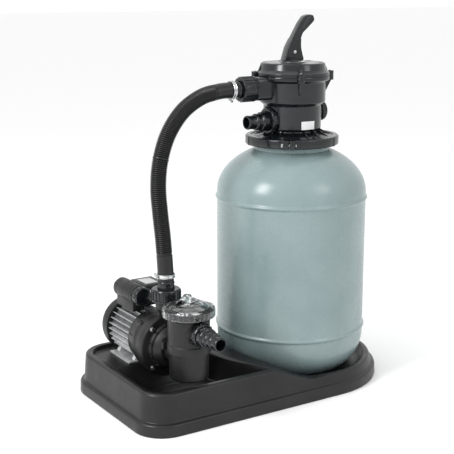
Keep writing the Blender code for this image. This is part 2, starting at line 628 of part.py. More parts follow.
# ---------------------------------------------------------------- valve
def build_valve():
    axis = Matrix.Translation(TANK_AXIS)
    flange_top = VALVE_BASE + VALVE_FLANGE_DEPTH
    seat_low = SEAT_TOP - SEAT_THICKNESS
    body = turned("valve_body", [
        (0, SEAT_TOP), (CHAMBER_RADIUS, SEAT_TOP), (CHAMBER_RADIUS, VALVE_TOP), (VALVE_RIM_RADIUS, VALVE_TOP),
        (VALVE_RIM_RADIUS, VALVE_TOP - 0.009), (VALVE_UPPER_RADIUS, VALVE_TOP - 0.014),
        (VALVE_UPPER_RADIUS, VALVE_SHOULDER_Z + 0.008), (VALVE_LOWER_RADIUS, VALVE_SHOULDER_Z),
        (VALVE_LOWER_RADIUS, 0.603), (0.0615, 0.599), (0.0640, 0.5945), (0.0930, flange_top + 0.0015),
        (0.0940, flange_top), (FLANGE_RADIUS, flange_top), (FLANGE_RADIUS, VALVE_BASE), (0.050, VALVE_BASE),
        (0.050, 0.600), (0.056, 0.606), (0.056, seat_low), (0, seat_low)], axis, VALVE_PLASTIC, 26, closed=False)

    nut_seat_x = RETURN_PORT["face_x"] + RETURN_PORT["nut_length"] + 0.0005
    cut(body, rod("nut_seat_cut", RETURN_PORT["nut"] + 0.0015, 0, 0.05,
                  Matrix.Translation((nut_seat_x, 0, PORT_RETURN_Z)) @ TO_LEFT, steps=18))
    ports = []
    for name, port, z, nearest in (("pump", PUMP_PORT, PORT_PUMP_Z, VALVE_UPPER_RADIUS),
                                   ("return", RETURN_PORT, PORT_RETURN_Z, VALVE_LOWER_RADIUS)):
        end_x = port["face_x"] + stub_end(port)
        base = Matrix.Translation((end_x, 0, z)) @ TO_LEFT
        root = -(TANK_X - nearest + 0.012 - end_x)
        thick = port["thread"] + 0.0015
        nut_back = -(port["nut_length"] - stub_end(port)) - 0.0005
        stub = turned(name + "_stub", [(0, 0), (port["thread"], 0), (port["thread"], nut_back),
                                       (thick, nut_back - 0.002), (thick, root), (0, root)],
                      base, closed=False)
        ports.append((stub, rod(name + "_bore_cut", port["bore"], -(TANK_X - 0.045 - end_x), 0.01, base)))
    plug_reach = 0.014
    waste_base = Matrix.Translation((TANK_X + VALVE_LOWER_RADIUS + plug_reach, 0, PORT_WASTE_Z)) @ TO_RIGHT
    waste_thread = 0.0190
    waste = rod("waste_stub", waste_thread, -plug_reach - 0.012, 0, waste_base, steps=TURN_STEPS)
    waste_bore = rod("waste_bore_cut", 0.0125, -plug_reach - 0.025, 0.01, waste_base, steps=10)
    lugs = rods_round("body_lugs", LUG_COUNT, LUG_CIRCLE, LUG_RADIUS, VALVE_TOP - 0.012, VALVE_TOP, axis,
                      start=LUG_ANGLE, steps=10)
    join(body, ports[0][0], ports[1][0], waste, lugs)
    cut(body, ports[0][1], ports[1][1], waste_bore)
    cut(body, rod("seat_centre_cut", 0.020, seat_low - 0.004, SEAT_TOP + 0.01, axis))
    seat_holes = 3
    cut(body, rods_round("seat_hole_cut", seat_holes, 0.040, 0.011, seat_low - 0.004, SEAT_TOP + 0.01, axis,
                         start=60, steps=10))
    cut(body, rods_round("body_screw_cut", LUG_COUNT, LUG_CIRCLE, LUG_SCREW + FIT, VALVE_TOP - 0.020,
                         VALVE_TOP + 0.01, axis, start=LUG_ANGLE))

    # Neck seal between the tank's flange and the valve's.
    seal_low = TANK_FLANGE_TOP + GAP
    turned("neck_seal", [(0.0955, seal_low + SEAL_THICKNESS), (0.0955, seal_low), (0.078, seal_low),
                         (0.078, seal_low + SEAL_THICKNESS)], axis, RUBBER)

    # Lid with its seal and screws.
    ceiling = LID_TOP - 0.0075
    seal_outer = 0.0662
    lid = turned("valve_lid", [
        (SPINDLE_RADIUS + FIT, LID_TOP), (LID_TOP_RADIUS - 0.0025, LID_TOP), (LID_TOP_RADIUS, LID_TOP - 0.002),
        (LID_TOP_RADIUS + 0.002, LID_BASE + 0.014), (VALVE_RIM_RADIUS - 0.0035, LID_BASE + 0.009),
        (VALVE_RIM_RADIUS, LID_BASE + 0.007),
        (VALVE_RIM_RADIUS, LID_BASE), (seal_outer + FIT, LID_BASE), (seal_outer + FIT, LID_BASE + 0.0025),
        (CHAMBER_RADIUS, LID_BASE + 0.0025), (CHAMBER_RADIUS - 0.003, ceiling),
        (SPINDLE_RADIUS + FIT, ceiling)], axis, VALVE_PLASTIC)
    lug_top = LID_BASE + 0.0095
    join(lid, rods_round("lid_lugs", LUG_COUNT, LUG_CIRCLE, LUG_RADIUS, LID_BASE, lug_top, axis,
                         start=LUG_ANGLE, steps=10))
    cut(lid, rods_round("lid_screw_cut", LUG_COUNT, LUG_CIRCLE, LUG_SCREW + FIT, LID_BASE - 0.01,
                        lug_top + 0.01, axis, start=LUG_ANGLE))
    turned("lid_seal", [(seal_outer, LID_BASE + 0.0022), (seal_outer, LID_BASE), (CHAMBER_RADIUS + 0.0005, LID_BASE),
                        (CHAMBER_RADIUS + 0.0005, LID_BASE + 0.0022)], axis, RUBBER)
    head_low = lug_top + GAP
    for index, _, (x, y) in ring_of(LUG_COUNT, LUG_CIRCLE, LUG_ANGLE):
        bolt(f"lid_screw_{index + 1}", axis @ Matrix.Translation((x, y, 0)), LUG_SCREW, 0.0055,
             VALVE_TOP - 0.0115, head_low, head_low + 0.004)

    # Rotor with its spindle, gasket and spring.
    rotor_top = ROTOR_BASE + ROTOR_THICKNESS
    hub_top = rotor_top + 0.010
    spindle_top = PIN_Z + 0.0065
    rotor_radius = CHAMBER_RADIUS - 0.0015
    rotor = turned("valve_rotor", [
        (0, spindle_top), (SPINDLE_RADIUS - 0.002, spindle_top), (SPINDLE_RADIUS, spindle_top - 0.002),
        (SPINDLE_RADIUS, hub_top), (0.016, hub_top), (0.016, rotor_top), (rotor_radius, rotor_top),
        (rotor_radius, ROTOR_BASE), (0, ROTOR_BASE)], axis, WHITE_PLASTIC, closed=False)
    cut(rotor, rods_round("rotor_hole_cut", 2, 0.040, 0.011, ROTOR_BASE - 0.01, rotor_top + 0.01, axis,
                          start=60, steps=10))
    cut(rotor, rod("rotor_pin_cut", PIN_RADIUS + FIT, -0.05, 0.05, pin_place()))
    gasket = turned("spider_gasket", [
        (rotor_radius, SEAT_TOP + GAP + GASKET_THICKNESS), (rotor_radius, SEAT_TOP + GAP), (0.021, SEAT_TOP + GAP),
        (0.021, SEAT_TOP + GAP + GASKET_THICKNESS)], axis, RUBBER)
    cut(gasket, rods_round("gasket_hole_cut", seat_holes, 0.040, 0.0125, SEAT_TOP - 0.01, rotor_top, axis,
                           start=60, steps=10))
    wire = 0.0016
    coil("rotor_spring", 0.0140, wire, 4, hub_top + GAP + wire, ceiling - GAP - wire)

    # Spindle washer, pin and handle.
    turned("spindle_washer", [
        (0.030, WASHER_BASE + WASHER_THICKNESS), (0.030, WASHER_BASE), (SPINDLE_RADIUS + FIT, WASHER_BASE),
        (SPINDLE_RADIUS + FIT, WASHER_BASE + WASHER_THICKNESS)], axis, STEEL)
    rod("handle_pin", PIN_RADIUS, -HANDLE_WIDTH / 2 + 0.001, HANDLE_WIDTH / 2 - 0.001, pin_place(), STEEL)
    build_handle()

    # Unions and the waste port's plug.
    pump_point = Vector((PUMP_PORT["face_x"], 0, PORT_PUMP_Z))
    return_point = Vector((RETURN_PORT["face_x"], 0, PORT_RETURN_Z))
    fit_union(("pump_port_nut", "pump_port_tail"), pump_point, TO_LEFT, PUMP_PORT)
    fit_union(("return_nut", "return_tail"), return_point, TO_LEFT, RETURN_PORT)
    plug_radius = 0.0245
    turned("waste_plug", [
        (0, 0.0075), (plug_radius - 0.002, 0.0075), (plug_radius, 0.0055), (plug_radius, -plug_reach + 0.007),
        (waste_thread + FIT, -plug_reach + 0.007), (waste_thread + FIT, GAP), (0, GAP)],
        waste_base, VALVE_PLASTIC, closed=False)


def pin_place():
    """The handle pin's axis, across the direction that the handle leans in."""
    lean = Matrix.Rotation(math.radians(HANDLE_ANGLE), 4, "Z")
    return Matrix.Translation((TANK_X, 0, PIN_Z)) @ lean @ TO_FRONT


def coil(name, radius, wire, turns, low, high):
    per_turn = 8
    curve = bpy.data.curves.new(name, "CURVE")
    curve.dimensions = "3D"
    curve.bevel_depth = wire
    curve.bevel_resolution = 1
    curve.use_fill_caps = True
    spline = curve.splines.new("POLY")
    count = turns * per_turn + 1
    spline.points.add(count - 1)
    for index, point in enumerate(spline.points):
        angle = 2 * math.pi * index / per_turn
        z = low + (high - low) * index / (count - 1)
        point.co = (TANK_X + radius * math.cos(angle), radius * math.sin(angle), z, 1)
    shape = bpy.data.objects.new(name, curve)
    return place(shape, parts, STEEL)


def build_handle():
    """A curved lever, cut from its side outline; its fork straddles the spindle."""
    side = [(-0.0260, 0.0), (0.0088, 0.0), (0.0140, 0.0007), (0.0190, 0.0026), (0.0207, 0.0046),
            (0.0205, 0.0085), (0.0180, 0.0160), (0.0140, 0.0340), (0.0142, 0.0514), (0.0195, 0.0659),
            (0.0310, 0.0765), (0.0480, 0.0940), (0.0450, 0.1055), (0.0350, 0.1075), (0.0235, 0.1035),
            (0.0120, 0.0880), (-0.0175, 0.0320)]
    lean = Matrix.Translation((TANK_X, 0, HANDLE_BASE)) @ Matrix.Rotation(math.radians(HANDLE_ANGLE), 4, "Z")
    upright = lean @ Matrix.Rotation(math.radians(90), 4, "X")
    handle = plate("valve_handle", side, -HANDLE_WIDTH / 2, HANDLE_WIDTH / 2, upright, VALVE_PLASTIC)
    slot_half = SPINDLE_RADIUS + 0.0006
    slot_top = PIN_HEIGHT + 0.0115
    cut(handle, block("fork_cut", (-slot_half - 0.0012, -slot_half, -0.01), (0.06, slot_half, slot_top), lean))
    # The arm above the fork is thinner than its foot.
    bm = bmesh.new()
    for end in (-1, 1):
        low = HANDLE_TIP_WIDTH / 2 if end > 0 else -HANDLE_WIDTH
        high = HANDLE_WIDTH if end > 0 else -HANDLE_TIP_WIDTH / 2
        block_mesh(bm, (-0.06, low, 0.052), (0.09, high, 0.13))
    cut(handle, from_bmesh("handle_thin_cut", bm, lean))
    cut(handle, rod("handle_pin_cut", PIN_RADIUS + FIT, -0.05, 0.05, pin_place()))


# ---------------------------------------------------------------- motor
def build_motor():
    axis = Matrix.Translation(PUMP_AXIS) @ TO_BACK
    # In this frame local Z is +Y, local X is +X and local Y is -Z.
    fins = []
    half = math.radians(360 / FIN_COUNT) / 2
    for index in range(FIN_COUNT):
        middle = 2 * math.pi * (index + 0.5) / FIN_COUNT
        down = abs(math.remainder(middle - math.pi / 2, 2 * math.pi)) < math.radians(44)
        tip = MOTOR_TUBE if down else FIN_RADIUS
        for offset, radius in ((-0.50, MOTOR_TUBE), (-0.22, MOTOR_TUBE), (-0.15, tip), (0.15, tip)):
            angle = middle + 2 * half * offset
            fins.append((radius * math.cos(angle), radius * math.sin(angle)))
        angle = middle + 2 * half * 0.22
        fins.append((MOTOR_TUBE * math.cos(angle), MOTOR_TUBE * math.sin(angle)))
    bore = list(arc((0, 0), MOTOR_BORE, 0, 360 * 27 / 28, 28))
    plate("motor_housing", fins, MOTOR_FRONT, MOTOR_REAR, axis, ALUMINIUM, [bore])

    # Foot: a plate, and a saddle that holds the housing.
    foot_low = PAD_TOP + GAP
    origin = Matrix.Translation(PUMP_ORIGIN)
    foot = block("motor_foot", (-FOOT_HALF_WIDTH, FOOT_FRONT, foot_low),
                 (FOOT_HALF_WIDTH, FOOT_REAR, foot_low + FOOT_PLATE), origin, ALUMINIUM)
    saddle_half = 0.033
    saddle_top = SHAFT_Z - MOTOR_TUBE * 0.80
    saddle = plate("saddle", [(-saddle_half - 0.004, foot_low + 0.001), (saddle_half + 0.004, foot_low + 0.001),
                              (saddle_half, saddle_top), (-saddle_half, saddle_top)],
                   -FOOT_REAR + 0.004, -FOOT_FRONT - 0.004,
                   origin @ Matrix.Rotation(math.radians(90), 4, "X"))
    join(foot, saddle)
    cut(foot, rod("saddle_cut", MOTOR_TUBE + GAP, MOTOR_FRONT - 0.01, MOTOR_REAR + 0.01, axis, steps=FIN_COUNT * 2))
    recess = block("foot_recess_cut", (-0.018, FOOT_FRONT - 0.01, foot_low + FOOT_PLATE),
                   (0.018, FOOT_REAR + 0.01, SHAFT_Z), origin)
    cut(foot, recess)

    # End shields, bearings, stator and rotor.
    bearing_front = MOTOR_FRONT - 0.0155
    turned("front_end_shield", [
        (FIN_RADIUS, MOTOR_FRONT - GAP), (PLATE_RADIUS, BRACKET_FRONT + 0.012), (PLATE_RADIUS, BRACKET_FRONT),
        (PLATE_RADIUS - 0.011, BRACKET_FRONT), (PLATE_RADIUS - 0.014, MOTOR_FRONT - 0.020),
        (SHAFT_RADIUS + 0.0015, MOTOR_FRONT - 0.020), (SHAFT_RADIUS + 0.0015, bearing_front),
        (BEARING_RADIUS + FIT, bearing_front), (BEARING_RADIUS + FIT, MOTOR_FRONT - GAP)],
        axis, BLACK_PAINT, 28)
    bearing("front_bearing", bearing_front + GAP, axis)
    bearing_rear = MOTOR_REAR - 0.006
    shield_radius = FAN_COVER_RADIUS - FAN_COVER_WALL - FIT
    turned("rear_end_shield", [
        (shield_radius, COVER_FRONT + 0.0075), (shield_radius, COVER_FRONT),
        (BEARING_RADIUS + 0.005, COVER_FRONT), (BEARING_RADIUS + 0.005, bearing_rear - 0.001),
        (BEARING_RADIUS + FIT, bearing_rear - 0.001), (BEARING_RADIUS + FIT, bearing_rear + 0.0103),
        (SHAFT_RADIUS + 0.0015, bearing_rear + 0.0103), (SHAFT_RADIUS + 0.0015, COVER_FRONT + 0.0075)],
        axis, BLACK_PAINT, 28)
    bearing("rear_bearing", bearing_rear, axis)
    core_front = MOTOR_FRONT + 0.019
    core_rear = MOTOR_REAR - 0.018
    turned("stator", [(MOTOR_BORE - 2 * FIT, core_rear), (MOTOR_BORE - 2 * FIT, core_front), (0.032, core_front),
                      (0.032, core_rear)], axis, IRON)
    shaft_end = CASING_FRONT + 0.0085
    turned("motor_shaft", [
        (0, FAN_COVER_END - 0.010), (SHAFT_RADIUS, FAN_COVER_END - 0.010), (SHAFT_RADIUS, core_rear),
        (0.0315, core_rear), (0.0315, core_front), (SHAFT_RADIUS, core_front), (SHAFT_RADIUS, shaft_end),
        (0, shaft_end)], axis, STEEL, closed=False)

    # Fan and its cover.
    fan_low = COVER_FRONT + 0.0105
    hub = turned("cooling_fan", [
        (0.016, fan_low + 0.014), (0.016, fan_low + 0.002), (0.052, fan_low + 0.002), (0.052, fan_low),
        (SHAFT_RADIUS + FIT, fan_low), (SHAFT_RADIUS + FIT, fan_low + 0.014)], axis, PUMP_PLASTIC)
    bm = bmesh.new()
    for _, angle, _ in ring_of(7, 1.0):
        block_mesh(bm, (0.0125, -0.0011, fan_low + 0.001), (0.050, 0.0011, fan_low + 0.013),
                   Matrix.Rotation(angle, 4, "Z"))
    join(hub, from_bmesh("fan_blades", bm, axis))
    inner = FAN_COVER_RADIUS - FAN_COVER_WALL
    cover = turned("fan_cover", [
        (0, FAN_COVER_END), (FAN_COVER_RADIUS - 0.010, FAN_COVER_END),
        (FAN_COVER_RADIUS - 0.003, FAN_COVER_END - 0.003), (FAN_COVER_RADIUS, FAN_COVER_END - 0.010),
        (FAN_COVER_RADIUS, COVER_FRONT), (inner, COVER_FRONT), (inner, FAN_COVER_END - 0.010),
        (inner - 0.008, FAN_COVER_END - FAN_COVER_WALL), (0, FAN_COVER_END - FAN_COVER_WALL)],
        axis, BLACK_PAINT, 28, closed=False)
    bm = bmesh.new()
    for _, angle, _ in ring_of(8, 1.0, 15):
        block_mesh(bm, (0.018, -0.0030, FAN_COVER_END - 0.006), (0.048, 0.0030, FAN_COVER_END + 0.002),
                   Matrix.Rotation(angle, 4, "Z"))
    cut(cover, from_bmesh("grille_cut", bm, axis))
    build_motor_boxes()


def bearing(name, low, axis):
    turned(name, [(BEARING_RADIUS, low + 0.0098), (BEARING_RADIUS, low), (SHAFT_RADIUS + FIT, low),
                  (SHAFT_RADIUS + FIT, low + 0.0098)], axis, STEEL)


CAPACITOR_X = -0.027           # from the pump's axis
CAPACITOR_HALF = 0.0235
CAPACITOR_FRONT = 0.070
CAPACITOR_REAR = 0.158
CAPACITOR_SEAT = 0.017         # height of the seat between the fins and the housing
CAP_DEPTH = 0.020
TERMINAL_Y = (0.095, 0.160)


def build_motor_boxes():
    """Capacitor housing with its end cap, and the terminal box with its lid."""
    seat_half = 0.010
    seat_x = CAPACITOR_X + seat_half
    origin = Matrix.Translation(PUMP_ORIGIN)
    seat_low = SHAFT_Z + math.sqrt(FIN_RADIUS ** 2 - seat_x ** 2) + 0.0006
    low = seat_low + CAPACITOR_SEAT
    high = low + 0.046
    half = CAPACITOR_HALF
    section = [(-half * 0.62, low), (half * 0.62, low), (half, low + 0.015), (half, high - 0.013),
               (half * 0.55, high), (-half * 0.55, high), (-half, high - 0.013), (-half, low + 0.015)]
    outline = rounded(section, 0.008, 3)
    along = origin @ Matrix.Translation((CAPACITOR_X, 0, 0)) @ Matrix.Rotation(math.radians(90), 4, "X")
    box = plate("capacitor_box", outline, -CAPACITOR_REAR, -CAPACITOR_FRONT, along, BLACK_PAINT)
    join(box, block("capacitor_seat", (CAPACITOR_X - seat_half, CAPACITOR_FRONT + 0.008, seat_low),
                    (CAPACITOR_X + seat_half, CAPACITOR_REAR - 0.008, low + 0.002), origin))
    middle = (low + high) / 2
    can = 0.0180
    cut(box, rod("capacitor_cut", can + 0.001, CAPACITOR_FRONT - 0.01, CAPACITOR_REAR - 0.004,
                 origin @ Matrix.Translation((CAPACITOR_X, 0, middle)) @ TO_BACK, steps=10))
    plate("capacitor_cap", outline, -CAPACITOR_FRONT + GAP, -CAPACITOR_FRONT + CAP_DEPTH, along, PUMP_PLASTIC)

    terminal_left = CAPACITOR_X + half + 0.002
    terminal_right = terminal_left + 0.054
    terminal_low = SHAFT_Z + FIN_RADIUS + GAP
    lid_low = terminal_low + 0.046
    front, rear = TERMINAL_Y
    terminal = block("terminal_box", (terminal_left, front, terminal_low), (terminal_right, rear, lid_low),
                     origin, ALUMINIUM)
    wall = 0.003
    cut(terminal, block("terminal_cut", (terminal_left + wall, front + wall, terminal_low - wall),
                        (terminal_right - wall, rear - wall, lid_low - wall), origin))
    join(terminal, block("terminal_lid", (terminal_left - 0.001, front - 0.001, lid_low - 0.002),
                         (terminal_right + 0.001, rear + 0.001, lid_low + 0.004), origin))


# ---------------------------------------------------------------- pump
def build_pump():
    axis = Matrix.Translation(PUMP_AXIS) @ TO_BACK
    pot = Matrix.Translation(POT_AXIS)
    shelf = POT_TOP - 0.0115
    band_low, band_high = POT_BAND
    casing = turned("pump_casing", [
        (0, CASING_BACK), (CASING_RADIUS, CASING_BACK), (CASING_RADIUS, CASING_FRONT),
        (VOLUTE_RADIUS + 0.003, CASING_FRONT), (VOLUTE_RADIUS, CASING_FRONT - 0.004),
        (VOLUTE_RADIUS, VOLUTE_FRONT + 0.014), (VOLUTE_RADIUS - 0.012, VOLUTE_FRONT), (0, VOLUTE_FRONT)],
        axis, PUMP_PLASTIC, closed=False)
    pot_outer = turned("pot_outer", [
        (0, POT_TOP), (POT_NECK_RADIUS, POT_TOP), (POT_NECK_RADIUS, STRAINER_LID_SKIRT - 0.0003),
        (POT_RADIUS, STRAINER_LID_SKIRT - 0.005), (POT_RADIUS, band_high), (POT_RADIUS + 0.002, band_high),
        (POT_RADIUS + 0.002, band_low), (POT_RADIUS - 0.002, band_low), (POT_RADIUS - 0.003, POT_BOTTOM + 0.003),
        (POT_RADIUS - 0.006, POT_BOTTOM), (0, POT_BOTTOM)], pot, closed=False)
    duct = rod("duct_outer", DUCT_RADIUS, POT_Y + 0.015, VOLUTE_FRONT + 0.006, axis)
    web = block("web_outer", (-0.028, POT_Y + 0.020, band_low), (0.028, VOLUTE_FRONT + 0.006, band_high),
                Matrix.Translation(PUMP_ORIGIN))

    riser_low = SHAFT_Z + PLATE_RADIUS + 0.001
    outlet_face = OUTLET_NUT_Z + OUTLET["nut_length"]
    outlet_end = outlet_face - stub_end(OUTLET)
    narrow = CASING_BACK - CASING_Y - 0.0001
    riser_axis = Matrix.Translation((PUMP_X, PUMP_Y + CASING_Y, 0))
    riser = turned("riser_outer", [
        (0, outlet_end), (OUTLET["thread"], outlet_end), (OUTLET["thread"], OUTLET_NUT_Z + 0.003),
        (0.024, OUTLET_NUT_Z - 0.001), (0.024, riser_low + 0.021), (narrow, riser_low),
        (narrow, SHAFT_Z + 0.020), (0, SHAFT_Z + 0.020)], riser_axis, closed=False)

    suction_face = SUCTION_NUT_Y - SUCTION["nut_length"]
    suction_end = suction_face + stub_end(SUCTION)
    inlet_axis = Matrix.Translation((PUMP_X, PUMP_Y + suction_end, INLET_Z)) @ TO_FRONT
    inlet = rod("inlet_outer", SUCTION["thread"], suction_end - (POT_Y - POT_RADIUS + 0.012), 0, inlet_axis,
                steps=TURN_STEPS)
    join(casing, duct, pot_outer, web, riser, inlet)

    cavity = turned("cavity_cut", [
        (0, CASING_BACK + 0.01), (VOLUTE_CAVITY + 0.0055, CASING_BACK + 0.01),
        (VOLUTE_CAVITY + 0.0055, CASING_BACK - 0.0025), (VOLUTE_CAVITY, CASING_BACK - 0.0025),
        (VOLUTE_CAVITY, CASING_FRONT + 0.002), (0, CASING_FRONT + 0.002)], axis, closed=False)
    eye = rod("eye_cut", DUCT_BORE, POT_Y, CASING_FRONT + 0.006, axis)
    pot_bore = turned("pot_bore_cut", [
        (0, POT_TOP + 0.01), (POT_BORE + 0.0035, POT_TOP + 0.01), (POT_BORE + 0.0035, shelf), (POT_BORE, shelf),
        (POT_BORE, POT_BOTTOM + 0.006), (0, POT_BOTTOM + 0.006)], pot, closed=False)
    riser_bore = rod("riser_cut", 0.0105, SHAFT_Z + 0.030, riser_low + 0.030, riser_axis, steps=10)
    riser_top = rod("riser_top_cut", OUTLET["bore"], riser_low + 0.022, outlet_end + 0.01, riser_axis, steps=10)
    inlet_bore = rod("inlet_cut", SUCTION["bore"], suction_end - POT_Y, 0.01, inlet_axis, steps=10)
    holes = rods_round("bolt_hole_cut", BOLT_COUNT, BOLT_CIRCLE, BOLT_RADIUS + FIT, CASING_FRONT - 0.01, 0.05, axis,
                       start=BOLT_ANGLE)
    cut(casing, cavity, pot_bore, eye, riser_bore, riser_top, inlet_bore, holes)
    cut(bpy.data.objects["front_end_shield"],
        rods_round("bracket_hole_cut", BOLT_COUNT, BOLT_CIRCLE, BOLT_RADIUS + FIT, 0.005, BRACKET_FRONT + 0.009, axis,
                   start=BOLT_ANGLE))

    # Casing bolts, from the front into the motor's bracket.
    front = Matrix.Translation(PUMP_AXIS) @ TO_FRONT
    for index, _, (x, y) in ring_of(BOLT_COUNT, BOLT_CIRCLE, BOLT_ANGLE):
        bolt(f"casing_bolt_{index + 1}", front @ Matrix.Translation((x, y, 0)), BOLT_RADIUS, 0.0050,
             -BRACKET_FRONT - 0.0085, -CASING_FRONT + GAP, -CASING_FRONT + 0.0045)

    # Seal plate, O-ring, shaft seal and impeller.
    seal_bore = 0.0145
    back = turned("seal_plate", [
        (PLATE_RADIUS, PLATE_FRONT + PLATE_THICKNESS), (PLATE_RADIUS, PLATE_FRONT), (seal_bore, PLATE_FRONT),
        (seal_bore, PLATE_FRONT + PLATE_THICKNESS)], axis, PUMP_PLASTIC, 28)
    cut(back, rods_round("plate_hole_cut", BOLT_COUNT, BOLT_CIRCLE, BOLT_RADIUS + FIT, 0, 0.05, axis, start=BOLT_ANGLE))
    turned("casing_o_ring", [
        (VOLUTE_CAVITY + 0.0052, CASING_BACK), (VOLUTE_CAVITY + 0.0052, CASING_BACK - 0.0022),
        (VOLUTE_CAVITY + 0.0012, CASING_BACK - 0.0022), (VOLUTE_CAVITY + 0.0012, CASING_BACK)], axis, RUBBER)
    disc_back = CASING_BACK - 0.004
    turned("shaft_seal", [
        (seal_bore - FIT, PLATE_FRONT + PLATE_THICKNESS), (seal_bore - FIT, disc_back + GAP),
        (SHAFT_RADIUS + FIT, disc_back + GAP), (SHAFT_RADIUS + FIT, PLATE_FRONT + PLATE_THICKNESS)],
        axis, RUBBER)
    vane = VOLUTE_CAVITY - 0.003
    impeller = turned("impeller", [
        (vane, disc_back), (vane, disc_back - 0.003), (0.0125, disc_back - 0.003), (0.0125, CASING_FRONT + 0.006),
        (SHAFT_RADIUS + FIT, CASING_FRONT + 0.006), (SHAFT_RADIUS + FIT, disc_back)], axis, WHITE_PLASTIC)
    bm = bmesh.new()
    for _, angle, _ in ring_of(5, 1.0):
        swept = Matrix.Rotation(angle, 4, "Z") @ Matrix.Translation((0.010, 0.003, 0)) @ Matrix.Rotation(0.35, 4, "Z")
        block_mesh(bm, (0.0, -0.0011, CASING_FRONT + 0.008), (vane - 0.013, 0.0011, disc_back - 0.001), swept)
    join(impeller, from_bmesh("vanes", bm, axis))

    build_strainer(pot, shelf)
    fit_union(("outlet_nut", "outlet_tail"), Vector((PUMP_X, PUMP_Y + CASING_Y, outlet_face)), Z_UP, OUTLET)
    fit_union(("inlet_nut", "inlet_tail"), Vector((PUMP_X, PUMP_Y + suction_face, INLET_Z)), TO_FRONT, SUCTION)

    # Drain plug under the volute's front.
    drain_y = PUMP_Y + (CASING_FRONT + VOLUTE_FRONT) / 2 + 0.004
    rod("drain_plug", 0.0075, 0.0009, 0.008,
        Matrix.Translation((PUMP_X, drain_y, SHAFT_Z - VOLUTE_RADIUS)) @ Matrix.Rotation(math.pi, 4, "X"),
        PUMP_PLASTIC, 10)


def build_strainer(pot, shelf):
    rim = POT_BORE + 0.0035 - FIT
    wall = 0.0016
    basket = turned("strainer_basket", [
        (rim, shelf + GAP + 0.002), (rim, shelf + GAP), (BASKET_RADIUS, shelf + GAP), (BASKET_RADIUS, shelf - 0.004),
        (BASKET_RADIUS - 0.003, BASKET_BOTTOM), (0, BASKET_BOTTOM), (0, BASKET_BOTTOM + wall),
        (BASKET_RADIUS - 0.003 - wall, BASKET_BOTTOM + wall), (BASKET_RADIUS - wall, shelf + GAP + 0.002)],
        pot, WHITE_PLASTIC)
    bm = bmesh.new()
    for _, angle, _ in ring_of(8, 1.0):
        block_mesh(bm, (0.028, -0.0050, BASKET_BOTTOM + 0.008), (0.045, 0.0050, shelf - 0.010),
                   Matrix.Rotation(angle, 4, "Z"))
    cut(basket, from_bmesh("basket_slot_cut", bm, pot))

    ring_low = POT_TOP + GAP
    ring_high = ring_low + 0.0025
    turned("lid_o_ring", [(0.0490, ring_high), (0.0490, ring_low), (0.0440, ring_low), (0.0440, ring_high)],
           pot, RUBBER)
    inner = POT_NECK_RADIUS + 2 * FIT
    top = STRAINER_LID_TOP
    lid = turned("strainer_lid", [
        (0, top), (0.030, top - 0.0015), (0.046, top - 0.0065), (STRAINER_LID_RADIUS - 0.0020, top - 0.0095),
        (STRAINER_LID_RADIUS, top - 0.0115), (STRAINER_LID_RADIUS, STRAINER_LID_SKIRT),
        (inner, STRAINER_LID_SKIRT), (inner, ring_high + GAP), (0.042, ring_high + GAP), (0.030, ring_high + 0.0055),
        (0, top - 0.006)], pot, CLEAR_PLASTIC, closed=False)
    grip_half = 0.008
    run = [(-0.043, top - 0.008), (0.004, GRIP_TOP), (0.013, GRIP_TOP), (0.020, top - 0.006)]
    for index, turn in enumerate((0, 180)):
        along = pot @ Matrix.Rotation(math.radians(turn + 25), 4, "Z") @ Matrix.Translation((0, grip_half, 0))
        wedge = plate(f"grip_{index}", run, -grip_half + 0.0005, grip_half - 0.0005,
                      along @ Matrix.Rotation(math.radians(90), 4, "X"))
        join(lid, wedge)
    return lid


# ---------------------------------------------------------------- hose
def hose_ends():
    low = OUTLET_NUT_Z + OUTLET["nut_length"] + OUTLET["tail"][-1][0] + GAP
    left = PUMP_PORT["face_x"] - PUMP_PORT["tail"][-1][0] - GAP
    return Vector((PUMP_X, PUMP_Y + CASING_Y, low)), Vector((left, 0, PORT_PUMP_Z))


def smooth_route(points, count):
    """Evenly spaced points on a Catmull-Rom curve through the route's own points."""
    fine = []
    padded = [2 * points[0] - points[1]] + points + [2 * points[-1] - points[-2]]
    for first, start, end, last in zip(padded, padded[1:], padded[2:], padded[3:]):
        for step in range(12):
            t = step / 12
            fine.append(0.5 * (2 * start + (end - first) * t + (2 * first - 5 * start + 4 * end - last) * t * t
                               + (3 * start - first - 3 * end + last) * t ** 3))
    fine.append(points[-1])
    lengths = [0.0]
    for first, second in zip(fine, fine[1:]):
        lengths.append(lengths[-1] + (second - first).length)
    made = []
    place_in = 0
    for index in range(count):
        wanted = lengths[-1] * index / (count - 1)
        while place_in < len(lengths) - 2 and lengths[place_in + 1] < wanted:
            place_in += 1
        span = lengths[place_in + 1] - lengths[place_in]
        made.append(fine[place_in].lerp(fine[place_in + 1], (wanted - lengths[place_in]) / span))
    return made


def hose_route():
    """The hose rises from the pump, leans out, and arches over to the valve's upper port."""
    start, end = hose_ends()
    between = [(-0.2220, -0.0392, 0.3130), (-0.2230, -0.0376, 0.3450), (-0.2248, -0.0340, 0.3930),
               (-0.2276, -0.0295, 0.4410), (-0.2285, -0.0235, 0.4990), (-0.2185, -0.0165, 0.5560),
               (-0.1945, -0.0100, 0.6120), (-0.1550, -0.0052, 0.6590), (-0.1055, -0.0022, 0.6875),
               (-0.0600, -0.0006, 0.6972), (-0.0300, 0, 0.6990)]
    return [start] + [Vector(point) for point in between] + [end]


